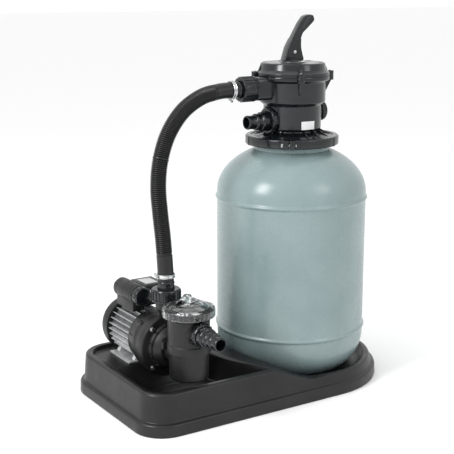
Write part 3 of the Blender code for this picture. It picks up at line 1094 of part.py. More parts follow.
def build_hose():
    points = smooth_route(hose_route(), 26)
    start, end = hose_ends()
    points[1] = start + Vector((0, 0, (points[1] - start).length))
    points[-2] = end - Vector(((points[-2] - end).length, 0, 0))
    curve = bpy.data.curves.new("transfer_hose", "CURVE")
    curve.dimensions = "3D"
    curve.bevel_depth = HOSE_RADIUS
    curve.bevel_resolution = 3
    curve.use_fill_caps = True
    spline = curve.splines.new("POLY")
    spline.points.add(len(points) - 1)
    for point, co in zip(spline.points, points):
        point.co = (*co, 1)
    place(bpy.data.objects.new("transfer_hose", curve), parts, HOSE_PLASTIC)
    inset = 0.012
    hose_clamp("lower_hose_clamp", Matrix.Translation(start + Vector((0, 0, inset)))
               @ Matrix.Rotation(math.radians(160), 4, "Z"))
    hose_clamp("upper_hose_clamp", Matrix.Translation(end - Vector((inset, 0, 0))) @ TO_RIGHT
               @ Matrix.Rotation(math.radians(25), 4, "Z"))


def hose_clamp(name, where):
    """A worm-drive band round the hose; its screw housing is on local +X."""
    inner = HOSE_RADIUS + 0.0010
    outer = inner + BAND_THICKNESS
    half = BAND_WIDTH / 2
    band = turned(name, [(outer, half), (outer, -half), (inner, -half), (inner, half)], where, STEEL)
    join(band, block(name + "_housing", (inner + 0.0004, -0.0065, -half * 0.85), (outer + 0.0055, 0.0065, half * 0.85),
                     where))
    join(band, rod(name + "_screw", 0.0038, -0.0135, 0.0100,
                   where @ Matrix.Translation((outer + 0.0032, 0, 0)) @ TO_BACK, steps=8))
    return band


build_tray()
build_tank()
build_clamp()
build_valve()
build_motor()
build_pump()
build_hose()
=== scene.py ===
# Pool filter pump set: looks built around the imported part.
# Every piece is placed from the part's own boxes, in metres, and rides on one of its bodies.
import bpy
import bmesh
import json
import math
from mathutils import Matrix, Vector


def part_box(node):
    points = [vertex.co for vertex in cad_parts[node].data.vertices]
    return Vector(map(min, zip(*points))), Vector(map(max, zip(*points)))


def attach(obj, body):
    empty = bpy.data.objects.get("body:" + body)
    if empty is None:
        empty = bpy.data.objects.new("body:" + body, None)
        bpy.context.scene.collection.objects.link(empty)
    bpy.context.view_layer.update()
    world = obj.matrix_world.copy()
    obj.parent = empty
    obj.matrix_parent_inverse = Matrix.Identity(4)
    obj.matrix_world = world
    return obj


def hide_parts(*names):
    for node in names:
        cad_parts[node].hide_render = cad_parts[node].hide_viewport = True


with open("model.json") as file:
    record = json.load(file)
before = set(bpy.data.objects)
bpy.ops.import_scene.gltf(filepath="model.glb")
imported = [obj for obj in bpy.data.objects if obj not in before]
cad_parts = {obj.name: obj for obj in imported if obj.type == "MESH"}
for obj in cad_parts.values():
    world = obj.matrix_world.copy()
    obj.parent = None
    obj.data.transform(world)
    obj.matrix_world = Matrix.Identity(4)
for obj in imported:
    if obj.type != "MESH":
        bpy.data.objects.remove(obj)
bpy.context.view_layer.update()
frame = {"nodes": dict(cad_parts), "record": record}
rootBody = "pump_set"

# small tools
weld, seamWeld = 0.000002, 0.000005
toLeft = Matrix.Rotation(math.radians(-90), 4, "Y")    # local Z becomes -X
toRight = Matrix.Rotation(math.radians(90), 4, "Y")
toFront = Matrix.Rotation(math.radians(90), 4, "X")    # local Z becomes -Y
toBack = Matrix.Rotation(math.radians(-90), 4, "X")


def low(node):
    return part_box(node)[0]


def high(node):
    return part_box(node)[1]


def middle(node):
    return (low(node) + high(node)) / 2


def at(x, y, z, turn=Matrix()):
    return Matrix.Translation((x, y, z)) @ turn


def lathe(outline, steps=64, arc=360.0):
    # turns an (r, z) outline round local Z; a partial turn gets its end faces
    bm = bmesh.new()
    points = [bm.verts.new((r, 0, z)) for r, z in outline]
    lines = [bm.edges.new(pair) for pair in zip(points, points[1:] + points[:1])]
    full = arc >= 360
    bmesh.ops.spin(bm, geom=points + lines, cent=(0, 0, 0), axis=(0, 0, 1), dvec=(0, 0, 0),
                   angle=math.radians(arc), steps=steps, use_merge=full)
    bmesh.ops.remove_doubles(bm, verts=bm.verts, dist=seamWeld)
    if not full:
        bmesh.ops.holes_fill(bm, edges=[edge for edge in bm.edges if edge.is_boundary], sides=0)
    else:
        # the axis line of a closed outline leaves faces with no area
        bmesh.ops.dissolve_degenerate(bm, edges=bm.edges, dist=weld)
    bmesh.ops.recalc_face_normals(bm, faces=bm.faces)
    return bm


def rod(radius, start, end, steps=32):
    bm = bmesh.new()
    bmesh.ops.create_cone(bm, cap_ends=True, segments=steps, radius1=radius, radius2=radius,
                          depth=end - start, matrix=at(0, 0, (start + end) / 2))
    return bm


def block(lowCorner, highCorner):
    size = Vector(highCorner) - Vector(lowCorner)
    centre = (Vector(highCorner) + Vector(lowCorner)) / 2
    bm = bmesh.new()
    bmesh.ops.create_cube(bm, size=1, matrix=Matrix.Translation(centre) @ Matrix.Diagonal((*size, 1)))
    return bm


def prism(outline, start, end):
    # a flat outline in local XY, raised from start to end along local Z
    bm = bmesh.new()
    face = bm.faces.new([bm.verts.new((x, y, start)) for x, y in outline])
    raised = bmesh.ops.extrude_face_region(bm, geom=[face], use_keep_orig=True)
    moved = [item for item in raised["geom"] if isinstance(item, bmesh.types.BMVert)]
    bmesh.ops.translate(bm, verts=moved, vec=(0, 0, end - start))
    bmesh.ops.recalc_face_normals(bm, faces=bm.faces)
    return bm


def sheetGrid(columns, rows, placePoint):
    # a grid whose points are put where placePoint(column, row) says, then closed along its seams
    bm = bmesh.new()
    bmesh.ops.create_grid(bm, x_segments=columns, y_segments=rows, size=0.5)
    for vert in bm.verts:
        column = round((vert.co.x + 0.5) * columns)
        row = round((vert.co.y + 0.5) * rows)
        vert.co = placePoint(column, row)
    bmesh.ops.remove_doubles(bm, verts=bm.verts, dist=seamWeld)
    bmesh.ops.recalc_face_normals(bm, faces=bm.faces)
    return bm


def bevelled(bm, width, segments=2, angle=30):
    sharp = [edge for edge in bm.edges if len(edge.link_faces) == 2
             and edge.calc_face_angle(0) > math.radians(angle)]
    bmesh.ops.bevel(bm, geom=sharp, affect="EDGES", offset=width, offset_type="OFFSET", segments=segments,
                    profile=0.5, material=-1, clamp_overlap=True)
    return bm


def absorb(bm, part, place=Matrix()):
    # moves part into place and adds it to bm
    bmesh.ops.transform(part, matrix=place, verts=part.verts)
    carrier = bpy.data.meshes.new("carrier")
    part.to_mesh(carrier)
    part.free()
    bm.from_mesh(carrier)
    bpy.data.meshes.remove(carrier)
    return bm


def aboutZ(angle):
    return Matrix.Rotation(angle, 4, "Z")


def shifted(bm, place):
    # moves a shape and hands it back
    bmesh.ops.transform(bm, matrix=place, verts=bm.verts)
    return bm


def standing(angle):
    # stands an (r, z) outline's prism up in the plane through local Z at this angle
    return aboutZ(angle) @ toFront @ Matrix.Scale(-1, 4, (0, 0, 1))


def ribbed(bm, count, lowCorner, highCorner, soft, start=0.0, place=Matrix()):
    # adds count ribs round local Z, each the same softened block turned
    for angle, _, _ in ringPlaces(count, 1.0, start):
        absorb(bm, bevelled(block(lowCorner, highCorner), soft), place @ aboutZ(angle))


def gathered(*shapes):
    bm = bmesh.new()
    for part, place in shapes:
        absorb(bm, part, place)
    return bm


def carved(bm, *cutters, operation="DIFFERENCE"):
    # a Boolean on two bmeshes, in their own local space
    things = []
    for shape in (bm, *cutters):
        mesh = bpy.data.meshes.new("carve")
        shape.to_mesh(mesh)
        shape.free()
        thing = bpy.data.objects.new("carve", mesh)
        bpy.context.scene.collection.objects.link(thing)
        things.append(thing)
    for cutter in things[1:]:
        step = things[0].modifiers.new("carve", "BOOLEAN")
        step.operation = operation
        step.solver = "EXACT"
        step.object = cutter
    evaluated = things[0].evaluated_get(bpy.context.evaluated_depsgraph_get())
    result = bmesh.new()
    result.from_mesh(evaluated.to_mesh())
    evaluated.to_mesh_clear()
    for thing in things:
        mesh = thing.data
        bpy.data.objects.remove(thing)
        bpy.data.meshes.remove(mesh)
    bmesh.ops.remove_doubles(result, verts=result.verts, dist=weld)
    return result


def rounded(corners, radius, count=5):
    made = []
    for index, corner in enumerate(corners):
        here = Vector(corner)
        before = Vector(corners[index - 1]) - here
        after = Vector(corners[(index + 1) % len(corners)]) - here
        reach = min(radius, before.length * 0.46, after.length * 0.46)
        start = here + before.normalized() * reach
        end = here + after.normalized() * reach
        for step in range(count):
            t = step / (count - 1)
            made.append(tuple((1 - t) ** 2 * start + 2 * t * (1 - t) * here + t * t * end))
    return made


def softened(outline, radius=0.0008, count=3):
    # rounds the corners of an open (r, z) outline, leaving its two ends
    made = [tuple(outline[0])]
    for before, here, after in zip(outline, outline[1:], outline[2:]):
        first, corner, last = Vector(before), Vector(here), Vector(after)
        reach = min(radius, (first - corner).length * 0.45, (last - corner).length * 0.45)
        start = corner + (first - corner).normalized() * reach
        end = corner + (last - corner).normalized() * reach
        for step in range(count):
            t = step / (count - 1)
            made.append(tuple((1 - t) ** 2 * start + 2 * t * (1 - t) * corner + t * t * end))
    made.append(tuple(outline[-1]))
    return made


def ringShape(outline, radius, steps):
    # a closed (r, z) outline, its corners rounded except the first, turned into a ring
    return lathe(softened(outline + outline[:1], radius)[:-1], steps)


def ringPlaces(count, radius, start=0.0):
    for index in range(count):
        angle = math.radians(start + 360 * index / count)
        yield angle, radius * math.cos(angle), radius * math.sin(angle)


def addPiece(name, bm, finish, body=rootBody, stands=(), sharp=32):
    bmesh.ops.remove_doubles(bm, verts=bm.verts, dist=weld)
    mesh = bpy.data.meshes.new(name)
    bm.to_mesh(mesh)
    bm.free()
    mesh.shade_smooth()
    mesh.set_sharp_from_angle(angle=math.radians(sharp))
    mesh.materials.append(finish)
    piece = bpy.data.objects.new(name, mesh)
    bpy.context.scene.collection.objects.link(piece)
    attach(piece, body)
    if stands:
        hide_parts(*stands)
    return piece


# materials
def linear(code):
    # sRGB hex to a linear colour
    channels = [int(code[index:index + 2], 16) / 255 for index in (1, 3, 5)]
    return [c / 12.92 if c <= 0.04045 else ((c + 0.055) / 1.055) ** 2.4 for c in channels] + [1.0]


def addNode(tree, kind, settings=None, links=None):
    node = tree.nodes.new(kind)
    for key, value in (settings or {}).items():
        if isinstance(key, str) and hasattr(node, key):
            setattr(node, key, value)
        else:
            node.inputs[key].default_value = value
    for key, source in (links or {}).items():
        tree.links.new(source, node.inputs[key])
    return node


def newSurface(name, settings):
    made = bpy.data.materials.new(name)
    made.use_nodes = True
    tree = made.node_tree
    shader = tree.nodes["Principled BSDF"]
    for key, value in settings.items():
        shader.inputs[key].default_value = value
    return made, tree, shader, addNode(tree, "ShaderNodeTexCoord").outputs["Object"]


def perMm(size):
    # texture scale whose features are about this many millimetres apart
    return 1000.0 / size


def moulded(name, dark, light, roughness, spread, grainMm, grainDepth, mottleMm=40.0, settings=None):
    # dark and light are the two tones of the mottling; spread is how far the gloss wanders
    made, tree, shader, where = newSurface(name, settings or {})
    mottle = addNode(tree, "ShaderNodeTexNoise", {"Scale": perMm(mottleMm), "Detail": 5.0, "Roughness": 0.6},
                     {"Vector": where})
    tone = addNode(tree, "ShaderNodeValToRGB", {}, {"Fac": mottle.outputs["Fac"]})
    tone.color_ramp.elements[0].position = 0.36
    tone.color_ramp.elements[0].color = linear(dark)
    tone.color_ramp.elements[1].position = 0.66
    tone.color_ramp.elements[1].color = linear(light)
    tree.links.new(tone.outputs["Color"], shader.inputs["Base Color"])
    wear = addNode(tree, "ShaderNodeTexNoise", {"Scale": perMm(mottleMm * 0.35), "Detail": 6.0},
                   {"Vector": where})
    gloss = addNode(tree, "ShaderNodeMapRange", {"From Min": 0.3, "From Max": 0.7,
                                                 "To Min": roughness - spread,
                                                 "To Max": roughness + spread},
                    {"Value": wear.outputs["Fac"]})
    tree.links.new(gloss.outputs["Result"], shader.inputs["Roughness"])
    grain = addNode(tree, "ShaderNodeTexNoise", {"Scale": perMm(grainMm), "Detail": 3.0}, {"Vector": where})
    bump = addNode(tree, "ShaderNodeBump", {"Strength": 0.35, "Distance": grainDepth},
                   {"Height": grain.outputs["Fac"]})
    tree.links.new(bump.outputs["Normal"], shader.inputs["Normal"])
    return made


# Polyethylene, vacuum formed: satin black with a leathery grain and pale scuffs where it was handled.
trayPlastic = moulded("formedPolyethylene", "#141415", "#1c1c1d", 0.36, 0.05, 1.6, 0.00012, 60.0,
                       {"Specular IOR Level": 0.38})
# Polyethylene, blow moulded: grey-green all through, low gloss, a faint ripple from the mould.
tankPlastic = moulded("blowMouldedPolyethylene", "#798b8c", "#829394", 0.27, 0.025, 9.0, 0.00006, 120.0,
                      {"Specular IOR Level": 0.55})
# ABS, injection moulded: dark green-black, glossy, slight flow marks.
valvePlastic = moulded("injectionMouldedAbs", "#0b0f10", "#12171a", 0.19, 0.05, 2.5, 0.00004, 35.0,
                       {"Specular IOR Level": 0.5})
# Polypropylene with glass fibre, injection moulded: black, dull, with a fine gritty skin.
pumpPlastic = moulded("glassFilledPolypropylene", "#0f0f10", "#181818", 0.42, 0.07, 0.9, 0.00008, 25.0,
                       {"Specular IOR Level": 0.38})
# Polypropylene, moulded: soft white, used for the basket and the inner valve parts.
whitePlastic = moulded("whitePolypropylene", "#c9cbc9", "#dddedc", 0.42, 0.05, 1.2, 0.00004, 30.0)
# Polyethylene, extruded and corrugated: black with a waxy shine on the crowns.
hosePlastic = moulded("corrugatedPolyethylene", "#0b0b0c", "#131314", 0.33, 0.06, 1.5, 0.00005, 30.0,
                       {"Specular IOR Level": 0.42})
# Nitrile rubber, moulded: matt black.
sealRubber = moulded("nitrileRubber", "#0e0e0e", "#171717", 0.62, 0.08, 0.8, 0.00005, 12.0)
# Stainless steel, rolled band: bright, with fine lines along it.
bandSteel = moulded("rolledStainless", "#b9babb", "#d4d5d6", 0.20, 0.07, 0.6, 0.00002, 8.0, {"Metallic": 1.0})
# Zinc plated screw heads: pale and slightly cloudy.
zincPlate = moulded("zincPlatedSteel", "#aeb0b2", "#cccdce", 0.30, 0.08, 0.8, 0.00003, 5.0, {"Metallic": 1.0})
# Aluminium, die cast and left bare: silver grey, sandy skin; the roots of the fins are darker only through
# painted shade on the tube below.
castAluminium = moulded("dieCastAluminium", "#b9bbbc", "#d9dbdb", 0.36, 0.08, 0.7, 0.00006, 14.0,
                        {"Metallic": 0.55})
# The same casting down between the fins, darker and duller: painted shade for the fin roots.
finRootPaintedShade = moulded("finRootPaintedShadeAluminium", "#4a4c4d", "#616364", 0.55, 0.06, 0.7, 0.00009, 14.0,
                          {"Metallic": 0.4})
# Paint on pressed steel: black, satin, a light orange peel.
blackPaint = moulded("satinBlackPaint", "#0e0e0f", "#161617", 0.38, 0.05, 1.8, 0.00006, 30.0,
                     {"Specular IOR Level": 0.38})
# Laminated iron: dark with a grey cast.
ironStack = moulded("laminatedIron", "#55524f", "#6d6a66", 0.5, 0.08, 0.6, 0.00005, 10.0, {"Metallic": 0.8})
# Printed vinyl label, left blank.
blankLabel = moulded("whiteVinyl", "#d9dcdc", "#e6e8e8", 0.40, 0.03, 3.0, 0.00001, 20.0)
# Anodised name plate, left blank.
silverPlate = moulded("anodisedPlate", "#b9bbbb", "#cfd1d1", 0.33, 0.05, 0.8, 0.00002, 10.0,
                      {"Metallic": 0.6})


def clearPlastic():
    # Polycarbonate, injection moulded: clear, glossy, with faint flow lines.
    made, tree, shader, where = newSurface("clearPolycarbonate", {
        "Base Color": linear("#f2f5f5"), "Transmission Weight": 1.0, "IOR": 1.45, "Roughness": 0.06})
    flow = addNode(tree, "ShaderNodeTexNoise", {"Scale": perMm(9.0), "Detail": 2.0}, {"Vector": where})
    bump = addNode(tree, "ShaderNodeBump", {"Strength": 0.25, "Distance": 0.0002},
                   {"Height": flow.outputs["Fac"]})
    tree.links.new(bump.outputs["Normal"], shader.inputs["Normal"])
    return made


coverResin = clearPlastic()

slotFinishes = {
    "tray_polyethylene": trayPlastic, "tank_polyethylene": tankPlastic, "valve_abs": valvePlastic,
    "pump_polypropylene": pumpPlastic, "clear_polycarbonate": coverResin, "white_polypropylene": whitePlastic,
    "hose_polyethylene": hosePlastic, "nitrile_rubber": sealRubber, "stainless_steel": zincPlate,
    "cast_aluminium": castAluminium, "black_painted_steel": blackPaint, "laminated_iron": ironStack}
for part in frame["record"]["subparts"]:
    shape = frame["nodes"][part["node"]]
    shape.data.materials.clear()
    shape.data.materials.append(slotFinishes[part["material_slot"]])
print("materials ready")

# camera and light
view = {"place": (-1.3328, -2.0219, 0.9352), "heading": (0.5402, 0.8415), "pitch": 12.95,
        "lens": 84.13216, "sensor": 36.0}
lens = bpy.data.cameras.new("camera")
lens.sensor_width = view["sensor"]
lens.lens = view["lens"]
camera = bpy.data.objects.new("camera", lens)
bpy.context.scene.collection.objects.link(camera)
across = -math.atan2(view["heading"][0], view["heading"][1])
camera.matrix_world = at(*view["place"], aboutZ(across)
                         @ Matrix.Rotation(math.radians(90 - view["pitch"]), 4, "X"))
bpy.context.scene.camera = camera


def softLight(name, place, aim, width, height, power):
    lamp = bpy.data.lights.new(name, "AREA")
    lamp.shape = "RECTANGLE"
    lamp.size = width
    lamp.size_y = height
    lamp.energy = power
    holder = bpy.data.objects.new(name, lamp)
    bpy.context.scene.collection.objects.link(holder)
    direction = Vector(aim) - Vector(place)
    holder.matrix_world = at(*place, direction.to_track_quat("-Z", "Y").to_matrix().to_4x4())


softLight("leftSoftbox", (-2.3, -0.3, 1.9), (0.0, 0.0, 0.4), 0.7, 1.3, 48)
softLight("frontSoftbox", (0.9, -2.5, 1.9), (0.1, 0.0, 0.4), 0.9, 1.1, 10)
softLight("topSoftbox", (-0.3, 0.4, 2.6), (0.0, 0.0, 0.2), 2.2, 2.0, 8)
surround = bpy.data.worlds.new("studio")
surround.use_nodes = True
surround.node_tree.nodes["Background"].inputs["Color"].default_value = linear("#ffffff")
surround.node_tree.nodes["Background"].inputs["Strength"].default_value = 1.0
bpy.context.scene.world = surround
bpy.context.scene.view_settings.view_transform = "Standard"

floorMesh = bmesh.new()
bmesh.ops.create_grid(floorMesh, x_segments=1, y_segments=1, size=30)
floorData = bpy.data.meshes.new("studioFloor")
floorMesh.to_mesh(floorData)
floorMesh.free()
floorPaint = newSurface("paleFloor", {"Base Color": linear("#fafafa"), "Roughness": 0.7})[0]
floorData.materials.append(floorPaint)
floor = bpy.data.objects.new("studioFloor", floorData)
bpy.context.scene.collection.objects.link(floor)
print("camera, light and floor ready")

# transfer hose
hose = {"radius": 0.0185, "root": 0.0163, "cuffRadius": 0.0180, "cuff": 0.062, "pitch": 0.0043, "perWave": 6,
        "around": 40, "points": 26, "clampInset": 0.012}
hoseStart = Vector((middle("outlet_tail").x, middle("outlet_tail").y, high("outlet_tail").z + 0.0003))
hoseEnd = Vector((low("pump_port_tail").x - 0.0003, 0, middle("pump_port_tail").z))
hoseWay = [hoseStart, (-0.2220, -0.0392, 0.3130), (-0.2230, -0.0376, 0.3450), (-0.2248, -0.0340, 0.3930),
           (-0.2276, -0.0295, 0.4410), (-0.2285, -0.0235, 0.4990), (-0.2185, -0.0165, 0.5560),
           (-0.1945, -0.0100, 0.6120), (-0.1550, -0.0052, 0.6590), (-0.1055, -0.0022, 0.6875),
           (-0.0600, -0.0006, 0.6972), (-0.0300, 0, 0.6990), hoseEnd]


def smoothWay(points, count):
    # evenly spaced points on a smooth curve through the given ones
    points = [Vector(point) for point in points]
    padded = [2 * points[0] - points[1]] + points + [2 * points[-1] - points[-2]]
    fine = []
    for first, start, end, last in zip(padded, padded[1:], padded[2:], padded[3:]):
        for step in range(24):
            t = step / 24
            bend = (2 * first - 5 * start + 4 * end - last) * t * t
            twist = (3 * start - first - 3 * end + last) * t ** 3
            fine.append(0.5 * (2 * start + (end - first) * t + bend + twist))
    fine.append(points[-1])
    lengths = [0.0]
    for before, after in zip(fine, fine[1:]):
        lengths.append(lengths[-1] + (after - before).length)
    made, here = [], 0
    for index in range(count):
        wanted = lengths[-1] * index / (count - 1)
        while here < len(lengths) - 2 and lengths[here + 1] < wanted:
            here += 1
        span = lengths[here + 1] - lengths[here]
        made.append(fine[here].lerp(fine[here + 1], (wanted - lengths[here]) / span))
    return made, lengths[-1]


def hoseRadius(distance, total):
    # smooth cuffs at both ends, corrugations between them
    inside = min(distance, total - distance) - hose["cuff"]
    if inside < 0:
        return hose["cuffRadius"] if inside < -0.003 else hose["root"] + 0.0004
    wave = 0.5 - 0.5 * math.cos(2 * math.pi * inside / hose["pitch"])
    return hose["root"] + (hose["radius"] - hose["root"]) * wave ** 0.7


coarse, hoseLength = smoothWay(hoseWay, hose["points"])
rings = int(hoseLength / hose["pitch"] * hose["perWave"])
line, hoseLength = smoothWay(hoseWay, rings + 1)
frames = []
side = Vector((0, 1, 0))
for index, point in enumerate(line):
    ahead = (line[min(index + 1, rings)] - line[max(index - 1, 0)]).normalized()
    if index in (0, rings):
        ahead = Vector((0, 0, 1)) if index == 0 else Vector((1, 0, 0))
    side = (side - ahead * side.dot(ahead)).normalized()
    frames.append((point, side.copy(), ahead.cross(side)))


def hosePoint(column, row):
    # rows 0 and 1, and the last two, close the tube with a wall and a bore
    ring = min(max(row - 3, 0), rings)
    point, sideways, upward = frames[ring]
    radius = hoseRadius(hoseLength * ring / rings, hoseLength)
    if row < 3 or row > rings + 3:
        depth = (0.0, 0.02, 0.02)[2 - row] if row < 3 else (0.0, 0.02, 0.02)[row - rings - 4]
        radius = 0.0 if row in (0, rings + 6) else 0.0125
        travel = frames[0][1].cross(frames[0][2]) if row < 3 else -frames[-1][1].cross(frames[-1][2])
        point = point + travel * depth
    angle = 2 * math.pi * column / hose["around"]
    return point + radius * (math.cos(angle) * sideways + math.sin(angle) * upward)


hosePiece = addPiece("corrugatedHose", sheetGrid(hose["around"], rings + 6, hosePoint), hosePlastic,
                     stands=["transfer_hose"], sharp=60)

hoseBand = {"width": 0.009, "inner": 0.0187, "wire": 0.0013}


def hoseClamp(name, place, stands):
    # two round wires over a thin band, drawn together by a screw in an ear
    bm = bmesh.new()
    half = hoseBand["width"] / 2
    wire = hoseBand["wire"]
    reach = hoseBand["inner"] + wire
    for offset in (-half + wire, half - wire):
        circle = [(reach + wire * math.cos(math.radians(a)), offset + wire * math.sin(math.radians(a)))
                  for a in range(0, 360, 36)]
        absorb(bm, lathe(circle, 56))
    absorb(bm, lathe([(hoseBand["inner"] + 0.0010, half * 0.45), (hoseBand["inner"] + 0.0010, -half * 0.45),
                      (hoseBand["inner"] + 0.0001, -half * 0.45), (hoseBand["inner"] + 0.0001, half * 0.45)],
                     56))
    ear = hoseBand["inner"] + 0.0005
    absorb(bm, bevelled(block((ear, -0.0062, -half * 0.8), (ear + 0.0050, 0.0062, half * 0.8)), 0.0009))
    absorb(bm, rod(0.0019, -0.0125, 0.0085, 16), at(ear + 0.0028, 0, 0, toBack))
    absorb(bm, bevelled(rod(0.0036, 0.0075, 0.0100, 6), 0.0004), at(ear + 0.0028, 0, 0, toBack))
    absorb(bm, bevelled(rod(0.0033, -0.0134, -0.0108, 20), 0.0004), at(ear + 0.0028, 0, 0, toBack))
    shifted(bm, place)
    return addPiece(name, bm, bandSteel, stands=stands)


turnLower = aboutZ(math.radians(160))
turnUpper = toRight @ aboutZ(math.radians(25))
lowerClamp = hoseClamp("lowerHoseBand", at(hoseStart.x, hoseStart.y, hoseStart.z + hose["clampInset"],
                                           turnLower),
                       ["lower_hose_clamp"])
upperClamp = hoseClamp("upperHoseBand", at(hoseEnd.x - hose["clampInset"], 0, hoseEnd.z, turnUpper),
                       ["upper_hose_clamp"])
print("hose ready, length", round(hoseLength, 4))

# tray
tray = {"length": 0.720, "halfWidth": 0.212, "backTaper": 0.0145, "frontCorner": 0.070, "backCorner": 0.088,
        "height": 0.092, "rim": 0.009, "rimInset": 0.021, "bayFloor": 0.034, "collar": 0.050, "shelf": 0.244,
        "shelfDraft": 0.012, "rampStart": -0.053, "rampEnd": 0.110, "pocketFloor": 0.030,
        "padTop": 0.083, "padFront": 0.028, "padRun": 0.042, "around": 600, "margin": 0.0202, "lip": 0.1870,
        "wallDraft": 0.0062, "underside": 0.026}
tankX = middle("tank_shell").x
trayLeft = -tray["length"] / 2


def trayEdge(angle):
    # distance from the tank's axis to the tray's outermost edge, in that direction
    x, y = math.cos(angle), math.sin(angle)
    best = 10.0
    back = tray["halfWidth"] - tray["backTaper"]
    if x >= 0:
        return tray["halfWidth"]
    slant = tray["backTaper"] / (tankX - (trayLeft + tray["backCorner"]))
    if y > 0:
        # the back edge runs in a straight line to the pump end's corner
        best = min(best, tray["halfWidth"] / (y - slant * x))
    if y < 0:
        best = min(best, tray["halfWidth"] / -y)
    best = min(best, (trayLeft - tankX) / x)
    for centreX, centreY, corner, sign in (
            (trayLeft + tray["backCorner"], back - tray["backCorner"], tray["backCorner"], 1),
            (trayLeft + tray["frontCorner"], -tray["halfWidth"] + tray["frontCorner"], tray["frontCorner"],
             -1)):
        offset = Vector((centreX - tankX, centreY))
        along = offset.x * x + offset.y * y
        apart = offset.length_squared - along * along
        if apart < corner * corner:
            reach = along + math.sqrt(corner * corner - apart)
            hitX, hitY = tankX + reach * x, reach * y
            if hitX < centreX and (hitY - centreY) * sign > 0:
                best = reach
    return best


def trayPoint(angle, inset):
    # a point that lies inset in from the edge, measured square to it
    step = 0.004
    here = trayEdge(angle)
    ahead, behind = trayEdge(angle + step), trayEdge(angle - step)
    a = Vector((here * math.cos(angle), here * math.sin(angle)))
    tangent = Vector((ahead * math.cos(angle + step), ahead * math.sin(angle + step))) - Vector(
        (behind * math.cos(angle - step), behind * math.sin(angle - step)))
    inward = Vector((-tangent.y, tangent.x)).normalized()
    return a + inward * inset


def rampHeight(x):
    # height of the tray's top, falling from the pump end to the collar round the tank
    t = min(max((x - tray["rampStart"]) / (tray["rampEnd"] - tray["rampStart"]), 0), 1)
    fall = math.sin(t * math.pi / 2) ** 2 * (1.6 - 0.6 * t)
    return tray["height"] - (tray["height"] - tray["collar"]) * fall


def bayHeight(x, y):
    # the bay's floor, with the raised pad that the motor stands on
    t = min(max((y - tray["padFront"] + tray["padRun"]) / tray["padRun"], 0), 1)
    t = t * t * (3 - 2 * t) * 0.35 + t * 0.65
    return tray["bayFloor"] + (tray["padTop"] - tray["bayFloor"]) * t


pocketSteps = [(0.0, 0, 0), (0.06, 0, 0), (0.12, 0, 0), (0.158, 0, 0), (0.166, 0.0012, 0), (0.172, 0.0055, 0),
               (0.1775, 0.0125, 0), (0.1805, -0.006, 1), (0.1820, -0.0028, 1), (0.1840, -0.0008, 1),
               (0.1868, 0.0, 1)]
wallSteps = 9
floorSteps = 34
outerSteps = [(0.0, 0.0, 1), (-0.0030, -0.0006, 1), (-0.0052, -0.0024, 1), (-0.0064, -0.0052, 1),
              (-0.0105, 0.031, 0), (-0.0112, 0.0292, 0), (-0.0135, 0.0284, 0), (-0.0165, 0.0278, 0),
              (-0.0188, 0.0262, 0), (-0.0200, 0.0232, 0), (-0.0208, 0.004, 0), (-0.0204, 0.0014, 0),
              (-0.0192, 0.0, 0), (-0.0150, 0.0, 0), (-0.0142, 0.004, 0), (-0.0120, 0.024, 0),
              (-0.0040, 0.026, 0)]


def traySections(angle):
    # all the tray's points on one ray from the tank's axis, from the pocket out, over the rim and under
    direction = Vector((math.cos(angle), math.sin(angle)))
    rimInner = trayPoint(angle, tray["rimInset"] + tray["rim"])
    bayReach = rimInner.length
    shelfEdge = min(tray["shelf"], bayReach - tray["margin"])
    shelfEdge = max(shelfEdge, tray["lip"] + 0.0002)
    points = []
    for radius, lift, top in pocketSteps:
        p = direction * radius
        z = (rampHeight(tankX + p.x) if top else tray["pocketFloor"]) + lift
        points.append((p.x, p.y, z))
    for t in (0.35, 0.7):
        p = direction * (tray["lip"] + (shelfEdge - tray["lip"]) * t)
        points.append((p.x, p.y, rampHeight(tankX + p.x)))
    hasBay = bayReach - tray["margin"] > tray["lip"] + 0.0035
    depthShare = min(max((bayReach - 0.2105) / 0.012, 0), 1) if hasBay else 0.0
    shelfFoot = min(shelfEdge + tray["shelfDraft"], bayReach - 0.006)
    # shelf wall: round top edge, drafted face, round foot
    for index in range(wallSteps):
        t = index / (wallSteps - 1)
        p = direction * (shelfEdge + (max(shelfFoot, shelfEdge + 0.0001) - shelfEdge) * t)
        top = rampHeight(tankX + p.x)
        ease = t * t * (3 - 2 * t)
        points.append((p.x, p.y, top + (min(bayHeight(tankX + p.x, p.y), top) - top) * ease * depthShare))
    footPoint = direction * max(shelfFoot, shelfEdge + 0.0001)
    wallFoot = trayPoint(angle, tray["rimInset"] + tray["rim"] + tray["wallDraft"])
    if (wallFoot.length < footPoint.length + 0.0002) or not hasBay:
        wallFoot = footPoint + direction * 0.0001
    for index in range(1, floorSteps + 1):
        p = footPoint.lerp(wallFoot, index / floorSteps)
        top = rampHeight(tankX + p.x)
        points.append((p.x, p.y, top + (min(bayHeight(tankX + p.x, p.y), top) - top) * depthShare))
    wallHead = trayPoint(angle, tray["rimInset"] + tray["rim"])
    if wallHead.length < wallFoot.length:
        wallHead = wallFoot + direction * 0.0001
    for index in range(1, wallSteps + 1):
        t = index / wallSteps
        p = wallFoot.lerp(wallHead, t)
        top = rampHeight(tankX + p.x)
        base = top + (min(bayHeight(tankX + p.x, p.y), top) - top) * depthShare
        ease = t * t * (3 - 2 * t)
        points.append((p.x, p.y, base + (top - base) * ease))
    for inset, lift, top in outerSteps:
        p = trayPoint(angle, tray["rimInset"] + inset)
        z = (rampHeight(tankX + p.x) if top else 0) + lift
        points.append((p.x, p.y, z))
    points.append((direction.x * 0.1, direction.y * 0.1, tray["underside"]))
    points.append((0, 0, tray["underside"]))
    return points


trayRays = [traySections(2 * math.pi * index / tray["around"]) for index in range(tray["around"])]


def trayVertex(column, row):
    x, y, z = trayRays[column % tray["around"]][row]
    return (tankX + x, y, z)


